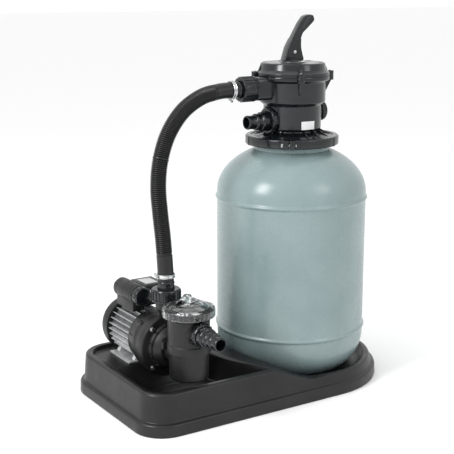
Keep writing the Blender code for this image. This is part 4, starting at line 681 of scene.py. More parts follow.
addPiece("formedTray", sheetGrid(tray["around"], len(trayRays[0]) - 1, trayVertex), trayPlastic,
         stands=["base_tray"], sharp=75)
print("tray ready")

# tank
tank = {"radius": 0.178, "wall": 0.005, "rib": 0.0035, "ribHeight": 0.014, "lowerRib": 0.127,
        "upperRib": 0.440,
        "bowlTop": 0.119, "bowlDepth": 0.1196, "domeBase": 0.452, "domeHeight": 0.1164, "neck": 0.0885,
        "neckBore": 0.074, "flange": 0.1000, "flangeDepth": 0.007, "steps": 160,
        "curveSteps": 22, "bowlPower": 2.4}


def tankOutline(inset):
    radius = tank["radius"] - inset
    rise = tank["domeHeight"] - inset
    neck = tank["neck"] if inset == 0 else tank["neckBore"]
    start = math.acos(neck / radius)
    shares = [i / tank["curveSteps"] for i in range(tank["curveSteps"] + 1)]
    dome = [(radius * math.cos(start * (1 - t)), tank["domeBase"] + rise * math.sin(start * (1 - t)))
            for t in shares]
    tankFloor = low("tank_shell").z + inset
    depth = tank["bowlDepth"] - inset
    power = tank["bowlPower"]
    end = math.asin(((tank["bowlTop"] - tankFloor) / depth) ** (power / 2))
    bowl = [(radius * math.cos(end * t) ** (2 / power),
             tank["bowlTop"] - depth * math.sin(end * t) ** (2 / power)) for t in shares]
    return dome, bowl, tankFloor


def tankRib(z):
    # a rounded bead with a soft step under it
    half = tank["ribHeight"] / 2
    return [(tank["radius"] + tank["rib"] * 0.5 * (1 + math.cos(math.pi * t)), z - half * t)
            for t in (-1, -0.8, -0.6, -0.4, -0.2, 0, 0.2, 0.4, 0.6, 0.8, 1)]


dome, bowl, tankFloor = tankOutline(0)
innerDome, innerBowl, innerFloor = tankOutline(tank["wall"])
flangeTop = high("tank_shell").z
outside = softened([(tank["neckBore"], flangeTop), (tank["flange"], flangeTop),
                    (tank["flange"], flangeTop - tank["flangeDepth"]),
                    (tank["neck"] + 0.004, flangeTop - tank["flangeDepth"]),
                    (tank["neck"] + 0.0005, flangeTop - 0.010)], 0.0012)
tankShape = outside + dome + tankRib(tank["upperRib"]) + tankRib(tank["lowerRib"]) + bowl
tankShape += [(0, tankFloor), (0, innerFloor)] + list(reversed(innerDome + innerBowl))
tankBody = lathe(tankShape, tank["steps"])
shifted(tankBody, at(tankX, 0, 0))
addPiece("blowMouldedTank", tankBody, tankPlastic, stands=["tank_shell"],
         sharp=50)
print("tank ready")

# clamp round the tank's neck
clamp = {"outer": 0.1105, "inner": 0.1036, "lip": 0.0968, "lipDepth": 0.0042, "lugHalf": 0.0138,
         "lugReach": 0.1208,
         "lugDepth": 0.0215, "gap": 0.0006, "steps": 60}
valveX = middle("valve_lid").x
ringLow, ringHigh = low("clamp_half_left").z, high("clamp_half_left").z
section = softened([(clamp["outer"], (ringLow + ringHigh) / 2), (clamp["outer"], ringHigh - 0.0025),
                    (clamp["outer"] - 0.0030, ringHigh), (clamp["lip"], ringHigh),
                    (clamp["lip"], ringHigh - clamp["lipDepth"]),
                    (clamp["inner"], ringHigh - clamp["lipDepth"]),
                    (clamp["inner"], ringLow + clamp["lipDepth"]),
                    (clamp["lip"], ringLow + clamp["lipDepth"]),
                    (clamp["lip"], ringLow), (clamp["outer"] - 0.0030, ringLow),
                    (clamp["outer"], ringLow + 0.0025), (clamp["outer"], (ringLow + ringHigh) / 2)],
                   0.0012)[:-1]
jointAngle = {"clamp_half_left": 51.0, "clamp_half_right": -129.0}
for side, joint in jointAngle.items():
    halfRing = lathe(section, clamp["steps"], 178.6)
    shifted(halfRing, aboutZ(math.radians(joint + 0.7)))
    middleZ = (ringLow + ringHigh) / 2
    for end, turn in ((1, joint), (-1, joint + 180)):
        lug = bevelled(block((clamp["inner"] + 0.002, clamp["gap"] if end > 0 else -clamp["lugHalf"],
                              middleZ - clamp["lugDepth"] / 2),
                             (clamp["lugReach"], clamp["lugHalf"] if end > 0 else -clamp["gap"],
                              middleZ + clamp["lugDepth"] / 2)), 0.0022, 3)
        absorb(halfRing, lug, aboutZ(math.radians(turn)))
        boss = bevelled(rod(0.0082, clamp["gap"] + 0.001, clamp["lugHalf"] + 0.0012, 24), 0.0012, 2)
        flip = toBack if end > 0 else toFront
        absorb(halfRing, boss, aboutZ(math.radians(turn)) @ at(0.1135, 0, middleZ, flip))
    # short ribs between the ring's outer face and its lips
    for angle, _, _ in ringPlaces(7, 1.0, joint + 14):
        if 8 < (math.degrees(angle) - joint) % 360 < 172:
            rib = bevelled(block((clamp["outer"] - 0.0022, -0.0015, ringLow + 0.001),
                                 (clamp["outer"] + 0.0012, 0.0015, ringHigh - 0.001)), 0.0005)
            absorb(halfRing, rib, aboutZ(angle))
    shifted(halfRing, at(valveX, 0, 0))
    addPiece("neckClamp" + side[11:].capitalize(), halfRing, valvePlastic,
             stands=[side])

# valve body
valve = {"flange": 0.1000, "flangeDepth": 0.007, "cone": 0.0640, "lower": 0.068, "lowerFoot": 0.603,
         "shoulder": 0.657, "upper": 0.0775, "rim": 0.0865, "rimDepth": 0.009, "chamber": 0.060,
         "seat": 0.668,
         "seatLow": 0.658, "lugAngle": -114, "lugCircle": 0.0895, "lug": 0.0085, "screw": 0.0055, "steps": 96}
lugs = list(ringPlaces(4, valve["lugCircle"], valve["lugAngle"]))
bodyLow, bodyTop = low("valve_body").z, high("valve_body").z
pump = {"z": middle("pump_port_nut").z, "nut": 0.0295, "nutEnd": high("pump_port_nut").x}
back = {"z": middle("return_nut").z, "nut": 0.0330, "nutEnd": high("return_nut").x, "stub": 0.029}
waste = {"z": middle("waste_plug").z, "stub": 0.0190, "end": valveX + valve["lower"] + 0.014}
outline = softened([(valve["chamber"], valve["seat"]), (valve["chamber"], bodyTop), (valve["rim"], bodyTop),
                    (valve["rim"], bodyTop - valve["rimDepth"]), (valve["upper"], bodyTop - 0.014),
                    (valve["upper"], valve["shoulder"] + 0.008), (valve["lower"], valve["shoulder"]),
                    (valve["lower"], valve["lowerFoot"]), (0.0615, 0.599), (valve["cone"], 0.5945),
                    (0.0930, bodyLow + valve["flangeDepth"] + 0.0015), (valve["flange"], bodyLow + 0.0069),
                    (valve["flange"], bodyLow), (0.050, bodyLow), (0.050, 0.600), (0.056, 0.606),
                    (0.056, valve["seatLow"]), (0.0, valve["seatLow"])], 0.0018)
shell = lathe(outline + [(0.0, valve["seat"])], valve["steps"])
shifted(shell, at(valveX, 0, 0))
seatCut = rod(back["nut"] + 0.0015, 0, 0.05, 64)
shifted(seatCut, at(back["nutEnd"] + 0.0005, 0, back["z"], toLeft))
shell = carved(shell, seatCut)
extras = []
for port, inner in ((pump, 0.070), (back, 0.060)):
    start = port["nutEnd"] + 0.0006
    reach = valveX - inner - start
    if port is pump:
        # the pump port's boss is boxy, with rounded corners
        sides = rounded([(-0.0262, -0.0245), (0.0262, -0.0245), (0.0262, 0.0245), (-0.0262, 0.0245)], 0.011,
                        7)
        box = prism(sides, 0.0, reach)
        extras.append((bevelled(box, 0.0016, 3, 40), at(start, 0, port["z"], toRight)))
    else:
        extras.append((bevelled(rod(port["stub"] + 0.0045, 0.0, reach, 56), 0.0030, 3),
                       at(start, 0, port["z"], toRight)))
extras.append((bevelled(rod(0.0215, -0.022, -0.0085, 48), 0.0012), at(waste["end"], 0, waste["z"], toRight)))
cutters = []
for tool, place in extras:
    shifted(tool, place)
    cutters.append(tool)
threads = [(0.0245, pump["nutEnd"] - 0.001, low("pump_port_nut").x + 0.0135, pump["z"]),
           (0.0275, back["nutEnd"] + 0.004, low("return_nut").x + 0.0115, back["z"])]
for radius, near, far, z in threads:
    stub = rod(radius, 0, near + 0.010 - far, 48)
    shifted(stub, at(far, 0, z, toRight))
    cutters.append(stub)
stub = rod(waste["stub"], -0.022, 0, 48)
shifted(stub, at(waste["end"], 0, waste["z"], toRight))
cutters.append(stub)
for _, x, y in lugs:
    lug = bevelled(rod(valve["lug"], bodyTop - 0.012, bodyTop, 32), 0.0008)
    shifted(lug, at(valveX + x, y, 0))
    cutters.append(lug)
shell = carved(shell, *cutters, operation="UNION")
bores = []
for radius, z, near in ((0.015, pump["z"], -0.01), (0.0125, back["z"], 0.05)):
    bore = rod(radius, 0, valveX - 0.045 - near, 40)
    shifted(bore, at(near, 0, z, toRight))
    bores.append(bore)
bore = rod(0.0125, -0.040, 0.01, 32)
shifted(bore, at(waste["end"], 0, waste["z"], toRight))
bores.append(bore)
holes = [(0.020, 0, 0)] + [(0.011, x, y) for _, x, y in ringPlaces(3, 0.040, 60)]
for radius, x, y in holes:
    hole = rod(radius, valve["seatLow"] - 0.004, valve["seat"] + 0.01, 32)
    shifted(hole, at(valveX + x, y, 0))
    bores.append(hole)
for _, x, y in lugs:
    hole = rod(0.0027, bodyTop - 0.020, bodyTop + 0.01, 16)
    shifted(hole, at(valveX + x, y, 0))
    bores.append(hole)
shell = carved(shell, *bores)
# webs on the flange's cone, left out behind the ports, and a gusset under each lug
for index in range(16):
    turn = math.radians(index * 22.5 + 11.25)
    if 148 < math.degrees(turn) < 212:
        continue
    web = prism([(0.0635, 0.5935), (0.0905, 0.5852), (0.0905, 0.5865), (0.0660, 0.6005), (0.0600, 0.6005)],
                -0.0013, 0.0013)
    absorb(shell, web, at(valveX, 0, 0, standing(turn)))
for angle, x, y in lugs:
    gusset = prism([(0.0760, bodyTop - 0.0400), (0.0785, bodyTop - 0.0400), (0.0925, bodyTop - 0.0118),
                    (0.0760, bodyTop - 0.0118)], -0.0030, 0.0030)
    absorb(shell, bevelled(gusset, 0.0008), at(valveX, 0, 0, standing(angle)))
addPiece("valveBody", shell, valvePlastic, stands=["valve_body"], sharp=35)

labelTurn = math.radians(-92.5)
label = {"reach": 0.0686, "width": 0.036, "low": 0.6045, "high": 0.6235}


def labelPoint(column, row):
    angle = labelTurn + (column / 12 - 0.5) * label["width"] / label["reach"]
    z = label["low"] + (label["high"] - label["low"]) * row / 2
    return (valveX + label["reach"] * math.cos(angle), label["reach"] * math.sin(angle), z)


sticker = sheetGrid(12, 2, labelPoint)
bmesh.ops.solidify(sticker, geom=sticker.faces, thickness=0.0006)
addPiece("blankSticker", sticker, blankLabel)

# valve lid, screws and handle
lidLow, lidTop = low("valve_lid").z, high("valve_lid").z
lidOutline = softened([(0.0093, lidTop - 0.0075), (0.0093, lidTop), (0.0225, lidTop),
                       (0.0235, lidTop - 0.0012),
                       (0.0330, lidTop - 0.0012), (0.0345, lidTop), (0.0730, lidTop),
                       (0.0755, lidTop - 0.0020),
                       (0.0775, lidLow + 0.0140), (0.0830, lidLow + 0.0090), (valve["rim"], lidLow + 0.0070),
                       (valve["rim"], lidLow), (0.0665, lidLow), (0.0665, lidLow + 0.0025),
                       (0.0600, lidLow + 0.0025), (0.0570, lidTop - 0.0075), (0.0093, lidTop - 0.0075)],
                      0.0010)
lid = lathe(lidOutline[:-1], valve["steps"])
for angle, x, y in lugs:
    absorb(lid, bevelled(rod(valve["lug"], lidLow, lidLow + 0.0095, 32), 0.0008), at(x, y, 0))
    gusset = prism([(0.0740, lidLow + 0.0070), (0.0840, lidLow + 0.0070), (0.0765, lidTop - 0.0040),
                    (0.0740, lidTop - 0.0040)], -0.0035, 0.0035)
    absorb(lid, bevelled(gusset, 0.0008), standing(angle))
ribbed(lid, 24, (0.0760, -0.0011, lidLow + 0.0080), (0.0795, 0.0011, lidLow + 0.0135), 0.0004, 7)
# position marks: six raised wedges in a ring, left without letters
for index in range(6):
    wedge = bevelled(prism([(0.0610, -0.0042), (0.0690, -0.0052), (0.0690, 0.0052), (0.0610, 0.0042)],
                           lidTop - 0.0005, lidTop + 0.0005), 0.0003)
    absorb(lid, wedge, aboutZ(math.radians(index * 60 + 20)))
shifted(lid, at(valveX, 0, 0))
addPiece("valveCover", lid, valvePlastic, stands=["valve_lid"])
cross = {"reach": 0.0034, "half": 0.0006, "top": 0.006}
for index, (_, x, y) in enumerate(lugs):
    headLow = high(f"lid_screw_{index + 1}").z - 0.004
    screw = bevelled(rod(valve["screw"], headLow, headLow + 0.004, 32), 0.0012, 3)
    slotCut = gathered((block((-cross["reach"], -cross["half"], headLow + 0.0024),
                              (cross["reach"], cross["half"], headLow + cross["top"])), Matrix()),
                       (block((-cross["half"], -cross["reach"], headLow + 0.0023),
                              (cross["half"], cross["reach"], headLow + cross["top"])), Matrix()))
    screw = carved(screw, slotCut)
    absorb(screw, rod(0.0024, low(f"lid_screw_{index + 1}").z, headLow + 0.001, 16))
    shifted(screw, at(valveX + x, y, 0, aboutZ(index * 0.7)))
    addPiece(f"coverScrew{index + 1}", screw, zincPlate,
             stands=[f"lid_screw_{index + 1}"])

lever = {"turn": -15.0, "base": low("valve_handle").z, "width": 0.031, "tipWidth": 0.024, "thinFrom": 0.052,
         "pinZ": 0.7794, "pin": 0.0043, "slotHalf": 0.0096}
sideways = [(-0.0260, 0.0), (0.0088, 0.0), (0.0140, 0.0007), (0.0190, 0.0026), (0.0207, 0.0046),
            (0.0205, 0.0085), (0.0180, 0.0160), (0.0140, 0.0340), (0.0142, 0.0514), (0.0195, 0.0659),
            (0.0310, 0.0765), (0.0480, 0.0940), (0.0450, 0.1055), (0.0350, 0.1075), (0.0235, 0.1035),
            (0.0120, 0.0880), (-0.0175, 0.0320)]
leverTurn = aboutZ(math.radians(lever["turn"]))
upright = Matrix.Rotation(math.radians(90), 4, "X")
arm = prism(rounded(sideways, 0.0045, 5), -lever["width"] / 2, lever["width"] / 2)
shifted(arm, upright)
trims = []
for sign in (-1, 1):
    near, far = sorted((sign * lever["tipWidth"] / 2, sign * lever["width"]))
    trims.append(block((-0.06, near, lever["thinFrom"]), (0.09, far, 0.13)))
fork = block((-lever["slotHalf"] - 0.0012, -lever["slotHalf"], -0.01), (0.06, lever["slotHalf"], 0.0335))
hole = rod(lever["pin"], -0.05, 0.05, 24)
shifted(hole, at(0, 0, lever["pinZ"] - lever["base"], toFront))
arm = carved(arm, *trims)
arm = bevelled(arm, 0.0022, 3, 38)
arm = carved(arm, fork, hole)
shifted(arm, at(valveX, 0, lever["base"], leverTurn))
addPiece("valveLever", arm, valvePlastic, "handle", ["valve_handle"], sharp=35)
pinShape = bevelled(rod(0.004, -0.0145, 0.0145, 24), 0.0005)
shifted(pinShape, at(valveX, 0, lever["pinZ"], leverTurn @ toFront))
addPiece("leverPin", pinShape, zincPlate, "valve_rotor_body", ["handle_pin"])
washer = ringShape([(0.030, high("spindle_washer").z), (0.030, low("spindle_washer").z),
                         (0.0093, low("spindle_washer").z), (0.0093, high("spindle_washer").z)], 0.0004, 64)
shifted(washer, at(valveX, 0, 0))
addPiece("leverWasher", washer, zincPlate, "valve_indexer", ["spindle_washer"])

# ribbed nuts, hose tails and the waste cap


def ribbedNut(name, node, place, face, length, bore, radius, ribs, body, thread):
    # place puts local Z = 0 on the nut's outer face
    back = -length
    nut = ringShape([(thread, back), (radius - 0.0016, back), (radius - 0.0016, -0.0030),
                          (radius - 0.0034, 0.0), (bore, 0.0), (bore, -face), (thread, -face)], 0.0006, 72)
    ribbed(nut, ribs, (radius - 0.0026, -0.0014, back + 0.0008), (radius - 0.0002, 0.0014, -0.0032), 0.0006)
    collar = ringShape([(radius - 0.0002, back + 0.0035), (radius - 0.0002, back), (radius - 0.0030, back),
                             (radius - 0.0030, back + 0.0035)], 0.0006, 72)
    absorb(nut, collar)
    shifted(nut, place)
    return addPiece(name, nut, valvePlastic, body, [node])


def hoseTail(name, node, place, steps, bore, flange, flangeBack):
    # steps are (end, radius) pairs going out from the nut's face; each ends in a small barb
    line = [(flange, -flangeBack), (flange, -flangeBack + 0.006), (steps[0][1], -flangeBack + 0.0062)]
    start = 0.0
    for end, radius in steps:
        line += [(radius - 0.0006, start + 0.0012), (radius - 0.0006, end - 0.0052), (radius, end - 0.0042),
                 (radius - 0.0002, end - 0.0022), (radius - 0.0012, end)]
        start = end
    line += [(bore, steps[-1][0]), (bore, -flangeBack), (flange, -flangeBack)]
    tail = lathe(softened(line, 0.0005)[:-1], 64)
    shifted(tail, place)
    return addPiece(name, tail, valvePlastic, stands=[node])


pumpFace = at(low("pump_port_nut").x, 0, pump["z"], toLeft)
returnFace = at(low("return_nut").x, 0, back["z"], toLeft)
outletFace = at(middle("outlet_nut").x, middle("outlet_nut").y, high("outlet_nut").z)
inletFace = at(middle("inlet_nut").x, low("inlet_nut").y, middle("inlet_nut").z, toFront)
ribbedNut("pumpPortNut", "pump_port_nut", pumpFace, 0.006, 0.037, 0.0200, 0.0295, 20, "pump_port_union",
          0.0249)
ribbedNut("returnPortNut", "return_nut", returnFace, 0.004, 0.0145, 0.0230, 0.0330, 22, "return_union",
          0.0279)
ribbedNut("outletNut", "outlet_nut", outletFace, 0.006, 0.027, 0.0200, 0.0340, 22, "outlet_union", 0.0284)
ribbedNut("inletNut", "inlet_nut", inletFace, 0.004, 0.017, 0.0230, 0.0270, 18, "inlet_union", 0.0244)
hoseTail("pumpPortTail", "pump_port_tail", pumpFace, [(0.0087, 0.0195)], 0.015, 0.0243, 0.0123)
hoseTail("returnTail", "return_tail", returnFace, [(0.0185, 0.0225), (0.0335, 0.0195), (0.0555, 0.0165)],
         0.0125,
         0.0273, 0.0103)
hoseTail("outletTail", "outlet_tail", outletFace, [(0.017, 0.0195)], 0.015, 0.0278, 0.0123)
hoseTail("inletTail", "inlet_tail", inletFace, [(0.017, 0.0225), (0.031, 0.0195), (0.046, 0.0175),
                                                (0.0645, 0.0155)], 0.0120, 0.0238, 0.0103)
wasteFace = at(high("waste_plug").x, 0, waste["z"], toRight)
cap = ringShape([(0.0194, -0.0145), (0.0229, -0.0145), (0.0229, -0.0020), (0.0205, 0.0), (0.0110, 0.0),
                      (0.0100, -0.0015), (0.0, -0.0015), (0.0, -0.0065), (0.0194, -0.0065)], 0.0006, 64)
ribbed(cap, 20, (0.0219, -0.0015, -0.0138), (0.0243, 0.0015, -0.0035), 0.0006)
shifted(cap, wasteFace)
addPiece("wasteCap", cap, valvePlastic, "waste_cap", ["waste_plug"])
print("valve ready")

# motor
motor = {"x": middle("motor_housing").x, "z": 0.145, "tube": 0.0505, "fin": 0.0605,
         "front": low("motor_housing").y,
         "rear": high("motor_housing").y, "fins": 28, "finHalf": 0.00115, "bore": 0.0442}
axisBack = at(motor["x"], 0, motor["z"], toBack)

tube = ringShape([(motor["tube"], motor["rear"]), (motor["tube"], motor["front"]),
                       (motor["bore"], motor["front"]), (motor["bore"], motor["rear"])], 0.0006, 84)
shifted(tube, axisBack)
# the tube shows between the fins in the darker copy of the aluminium: painted shade in the fin roots
addPiece("housingTube", tube, finRootPaintedShade, stands=["motor_housing"])
fins = bmesh.new()
for index in range(motor["fins"]):
    turn = 360 * index / motor["fins"]
    if abs((turn - 270 + 180) % 360 - 180) < 44:
        continue
    edge = [(motor["tube"] - 0.002, -0.0017), (motor["fin"] - 0.0006, -motor["finHalf"] * 0.62),
            (motor["fin"], 0.0), (motor["fin"] - 0.0006, motor["finHalf"] * 0.62),
            (motor["tube"] - 0.002, 0.0017)]
    fin = prism(edge, 0.0, motor["rear"] - motor["front"] - 0.0015)
    place = at(motor["x"], motor["front"] + 0.0007, motor["z"], toBack @ aboutZ(math.radians(-turn)))
    absorb(fins, fin, place)
addPiece("housingFins", fins, castAluminium, sharp=35)

frontLow, frontHigh = low("front_end_shield").y, high("front_end_shield").y
shieldRadius, boltCircle = 0.0688, 0.0635
frontShield = ringShape([(0.0605, frontHigh), (0.0615, frontHigh - 0.0100), (0.0660, frontHigh - 0.0250),
                              (shieldRadius, frontLow + 0.0100), (shieldRadius, frontLow),
                              (0.0350, frontLow), (0.0350, frontLow + 0.0090), (0.0165, frontLow + 0.0120),
                              (0.0165, frontHigh - 0.0004)], 0.0012, 84)
for angle, _, _ in ringPlaces(12, 1.0, 15):
    rib = bevelled(prism([(0.0600, frontHigh - 0.0020), (0.0590, frontHigh - 0.0240),
                          (0.0672, frontHigh - 0.0262),
                          (0.0636, frontHigh - 0.0080)], -0.0016, 0.0016), 0.0005)
    absorb(frontShield, rib, standing(angle))
for _, x, y in ringPlaces(4, boltCircle, 45):
    absorb(frontShield, bevelled(rod(0.0078, frontLow, frontLow + 0.0145, 28), 0.0012), at(x, y, 0))
shifted(frontShield, axisBack)
addPiece("frontShield", frontShield, pumpPlastic, stands=["front_end_shield"])

coverLow, coverHigh = low("fan_cover").y, high("fan_cover").y
cover = {"radius": 0.0645, "wall": 0.0020}
coverOutline = softened([(0.0, coverHigh), (0.0520, coverHigh), (0.0615, coverHigh - 0.0022),
                         (cover["radius"], coverHigh - 0.0100), (cover["radius"], coverLow),
                         (cover["radius"] - cover["wall"], coverLow),
                         (cover["radius"] - cover["wall"], coverHigh - 0.0100), (0.0540, coverHigh - 0.0030),
                         (0.0, coverHigh - 0.0030)], 0.0016)
fanCover = lathe(coverOutline, 84)
slots = bmesh.new()
for ring, (inner, outer, count) in enumerate(((0.0150, 0.0225, 10), (0.0255, 0.0345, 16),
                                              (0.0375, 0.0475, 22))):
    for angle, _, _ in ringPlaces(count, 1.0, ring * 7):
        slot = prism(rounded([(inner, -0.0024), (outer, -0.0028), (outer, 0.0028), (inner, 0.0024)], 0.0018,
                             4),
                     coverHigh - 0.006, coverHigh + 0.002)
        absorb(slots, slot, aboutZ(angle))
fanCover = carved(fanCover, slots)
for angle, _, _ in ringPlaces(3, cover["radius"], 30):
    screwHead = bevelled(rod(0.0032, -0.0006, 0.0010, 20), 0.0005)
    absorb(fanCover, screwHead, Matrix.Translation((0, 0, coverLow + 0.0080))
           @ aboutZ(angle) @ at(cover["radius"] - 0.0012, 0, 0, toRight))
shifted(fanCover, axisBack)
addPiece("fanCowl", fanCover, blackPaint, stands=["fan_cover"])

foot = {"low": low("motor_foot"), "high": high("motor_foot")}
plateTop = foot["low"].z + 0.0050
footShape = bevelled(block((foot["low"].x, foot["low"].y, foot["low"].z),
                           (foot["high"].x, foot["high"].y, plateTop)),
                     0.0012)
saddles = []
for offset in (foot["low"].y + 0.010, foot["high"].y - 0.010):
    saddle = prism([(-0.0420, plateTop - 0.001), (-0.0330, foot["high"].z + 0.0002),
                    (0.0330, foot["high"].z + 0.0002), (0.0420, plateTop - 0.001)], -0.0065, 0.0065)
    shifted(saddle, at(motor["x"], offset, 0, toFront))
    saddles.append(bevelled(saddle, 0.0008))
footShape = carved(footShape, *saddles, operation="UNION")
hollow = rod(motor["tube"] + 0.0003, -0.2, 0.2, 84)
shifted(hollow, axisBack)
footShape = carved(footShape, hollow)
addPiece("motorFoot", footShape, castAluminium, stands=["motor_foot"])

# fan, seen through the cowl's slots
fanLow = low("cooling_fan").y
fan = ringShape([(0.0160, fanLow + 0.0140), (0.0160, fanLow + 0.0020), (0.0520, fanLow + 0.0020),
                      (0.0520, fanLow), (0.0083, fanLow), (0.0083, fanLow + 0.0140)], 0.0003, 56)
ribbed(fan, 7, (0.0140, -0.0011, fanLow + 0.0010), (0.0500, 0.0011, fanLow + 0.0130), 0.0004)
shifted(fan, axisBack)

# capacitor and terminal boxes
capLow, capHigh = low("capacitor_box"), high("capacitor_box")
frontCap = low("capacitor_cap").y
capX, capHalf, capCorner = -0.2486, 0.0235, 0.012
capZ = capHigh.z - capHalf + 0.0002


def sixSided(reach, corner):
    # a hexagon with rounded corners; squeeze keeps its flats inside the case
    squeeze = 0.93 / math.cos(math.radians(30))
    turns = [math.radians(30 + 60 * k) for k in range(6)]
    sides = [(reach * math.cos(turn) * squeeze, reach * math.sin(turn) * squeeze) for turn in turns]
    return rounded(sides, corner, 6)


capBody = bevelled(prism(sixSided(capHalf, capCorner), 0.0, capHigh.y - frontCap - 0.0195), 0.0022, 3, 50)
shifted(capBody, at(capX, frontCap + 0.0200, capZ, toBack))
for index in range(3):
    band = prism(sixSided(capHalf + 0.00035, capCorner), 0.0, 0.0024)
    absorb(capBody, bevelled(band, 0.0007), at(capX, frontCap + 0.034 + index * 0.030, capZ, toBack))
absorb(capBody, bevelled(block((capX - 0.0150, capLow.y + 0.004, capLow.z + 0.0005),
                               (capX + 0.0150, capHigh.y - 0.004, capZ - 0.012)), 0.0020))
addPiece("capacitorCase", capBody, pumpPlastic, stands=["capacitor_box"],
         sharp=40)
capEnd = bevelled(prism(sixSided(capHalf - 0.0008, capCorner), 0.0, 0.0198), 0.0045, 4, 50)
shifted(capEnd, at(capX, frontCap, capZ, toBack))
ribbed(capEnd, 12, (capHalf - 0.0045, -0.0008, 0.0060), (capHalf - 0.0008, 0.0008, 0.0190), 0.0003,
       place=at(capX, frontCap, capZ, toBack))
addPiece("capacitorEnd", capEnd, valvePlastic, stands=["capacitor_cap"],
         sharp=40)

boxLow, boxHigh = low("terminal_box"), high("terminal_box")
terminal = bevelled(block((boxLow.x + 0.0004, boxLow.y + 0.0004, boxLow.z),
                          (boxHigh.x - 0.0004, boxHigh.y - 0.0004, boxHigh.z - 0.0075)), 0.0028, 3)
absorb(terminal, bevelled(block((boxLow.x, boxLow.y, boxHigh.z - 0.0090),
                                (boxHigh.x, boxHigh.y, boxHigh.z - 0.0002)),
                          0.0026, 3))
for x in (boxLow.x + 0.006, boxHigh.x - 0.006):
    for y in (boxLow.y + 0.006, boxHigh.y - 0.006):
        absorb(terminal, bevelled(rod(0.0026, boxHigh.z - 0.0008, boxHigh.z, 18), 0.0004), at(x, y, 0))
gland = lathe(softened([(0.0, 0.0100), (0.0058, 0.0100), (0.0075, 0.0060), (0.0075, 0.0), (0.0, 0.0)],
                       0.0006), 28)
absorb(terminal, gland, at(boxHigh.x - 0.0010, middle("terminal_box").y + 0.012,
                           middle("terminal_box").z - 0.006,
                           toRight @ Matrix.Scale(0.9, 4)))
addPiece("terminalBox", terminal, blackPaint, stands=["terminal_box"])
plate = bevelled(block((boxLow.x + 0.004, boxLow.y - 0.0004, boxLow.z + 0.012),
                       (boxHigh.x - 0.006, boxLow.y + 0.0008, boxHigh.z - 0.013)), 0.0004)
addPiece("blankBoxPlate", plate, silverPlate)
plate = bevelled(block((boxLow.x + 0.012, boxLow.y + 0.012, boxHigh.z - 0.0008),
                       (boxHigh.x - 0.012, boxHigh.y - 0.012, boxHigh.z + 0.0001)), 0.0003)
addPiece("blankLidPlate", plate, silverPlate)

# wet end: seal plate, casing, strainer pot
plateLow, plateHigh = low("seal_plate").y, high("seal_plate").y
sealRing = ringShape([(0.0688, plateHigh), (0.0688, plateLow), (0.0150, plateLow), (0.0150, plateHigh)],
                     0.0010, 84)
ribbed(sealRing, 24, (0.0665, -0.0014, plateLow + 0.0008), (0.0692, 0.0014, plateHigh - 0.0008), 0.0005, 5)
shifted(sealRing, axisBack)
addPiece("sealPlate", sealRing, pumpPlastic, stands=["seal_plate"])

casing = {"back": -0.0260, "front": -0.0540, "voluteEnd": -0.0820, "ring": 0.0720, "volute": 0.0500,
          "cavity": 0.0450,
          "potY": -0.138, "pot": 0.0460, "band": 0.0480, "bandLow": 0.157, "bandHigh": 0.1755, "neck": 0.0500,
          "potTop": 0.2485, "potLow": 0.097, "bore": 0.0390,
          "duct": 0.030, "eye": 0.0120, "inlet": 0.0240, "collar": 0.0275, "riserBore": 0.0105,
          "inletBore": 0.0120}
body = lathe(softened([(0.0, casing["back"]), (casing["ring"], casing["back"]),
                       (casing["ring"], casing["front"] + 0.002),
                       (casing["ring"] - 0.003, casing["front"]),
                       (casing["volute"] + 0.0035, casing["front"]),
                       (casing["volute"], casing["front"] - 0.0045),
                       (casing["volute"], casing["voluteEnd"] + 0.014),
                       (casing["volute"] - 0.012, casing["voluteEnd"]), (0.0, casing["voluteEnd"])], 0.0014),
             84)
shifted(body, axisBack)
pot = lathe(softened([(0.0, casing["potTop"]), (casing["neck"], casing["potTop"]), (casing["neck"], 0.2375),
                      (casing["pot"], 0.2320), (casing["pot"], casing["bandHigh"] + 0.001),
                      (casing["band"], casing["bandHigh"]), (casing["band"], casing["bandLow"]),
                      (casing["pot"] - 0.002, casing["bandLow"] - 0.001),
                      (casing["pot"] - 0.003, casing["potLow"] + 0.003),
                      (casing["pot"] - 0.006, casing["potLow"]), (0.0, casing["potLow"])], 0.0012), 84)
shifted(pot, at(motor["x"], casing["potY"], 0))
web = block((motor["x"] - 0.028, casing["potY"] + 0.020, casing["bandLow"]),
            (motor["x"] + 0.028, casing["voluteEnd"] + 0.006, casing["bandHigh"]))
duct = rod(casing["duct"], casing["potY"] + 0.015, casing["voluteEnd"] + 0.006, 56)
shifted(duct, axisBack)
riserY = middle("outlet_nut").y
riser = lathe(softened([(0.0, high("outlet_nut").z - 0.0126), (0.0280, high("outlet_nut").z - 0.0126),
                        (0.0280, 0.2500), (0.0240, 0.2465), (0.0240, 0.2300), (0.0135, 0.2140),
                        (0.0135, 0.160),
                        (0.0, 0.160)], 0.0010), 56)
shifted(riser, at(motor["x"], riserY, 0))
inletEnd = low("inlet_nut").y + 0.0106
inlet = rod(casing["inlet"], inletEnd, casing["potY"] - 0.034, 56)
shifted(inlet, at(motor["x"], 0, middle("inlet_nut").z, toBack))
collar = rod(casing["collar"], high("inlet_nut").y + 0.0010, casing["potY"] - 0.036, 56)
shifted(collar, at(motor["x"], 0, middle("inlet_nut").z, toBack))
body = carved(body, pot, web, duct, riser, inlet, collar, operation="UNION")
cavity = lathe([(0.0, casing["back"] + 0.01), (casing["cavity"] + 0.0055, casing["back"] + 0.01),
                (casing["cavity"] + 0.0055, casing["back"] - 0.0025),
                (casing["cavity"], casing["back"] - 0.0025),
                (casing["cavity"], casing["front"] + 0.002), (0.0, casing["front"] + 0.002)], 56)
shifted(cavity, axisBack)
shelf = casing["potTop"] - 0.0115
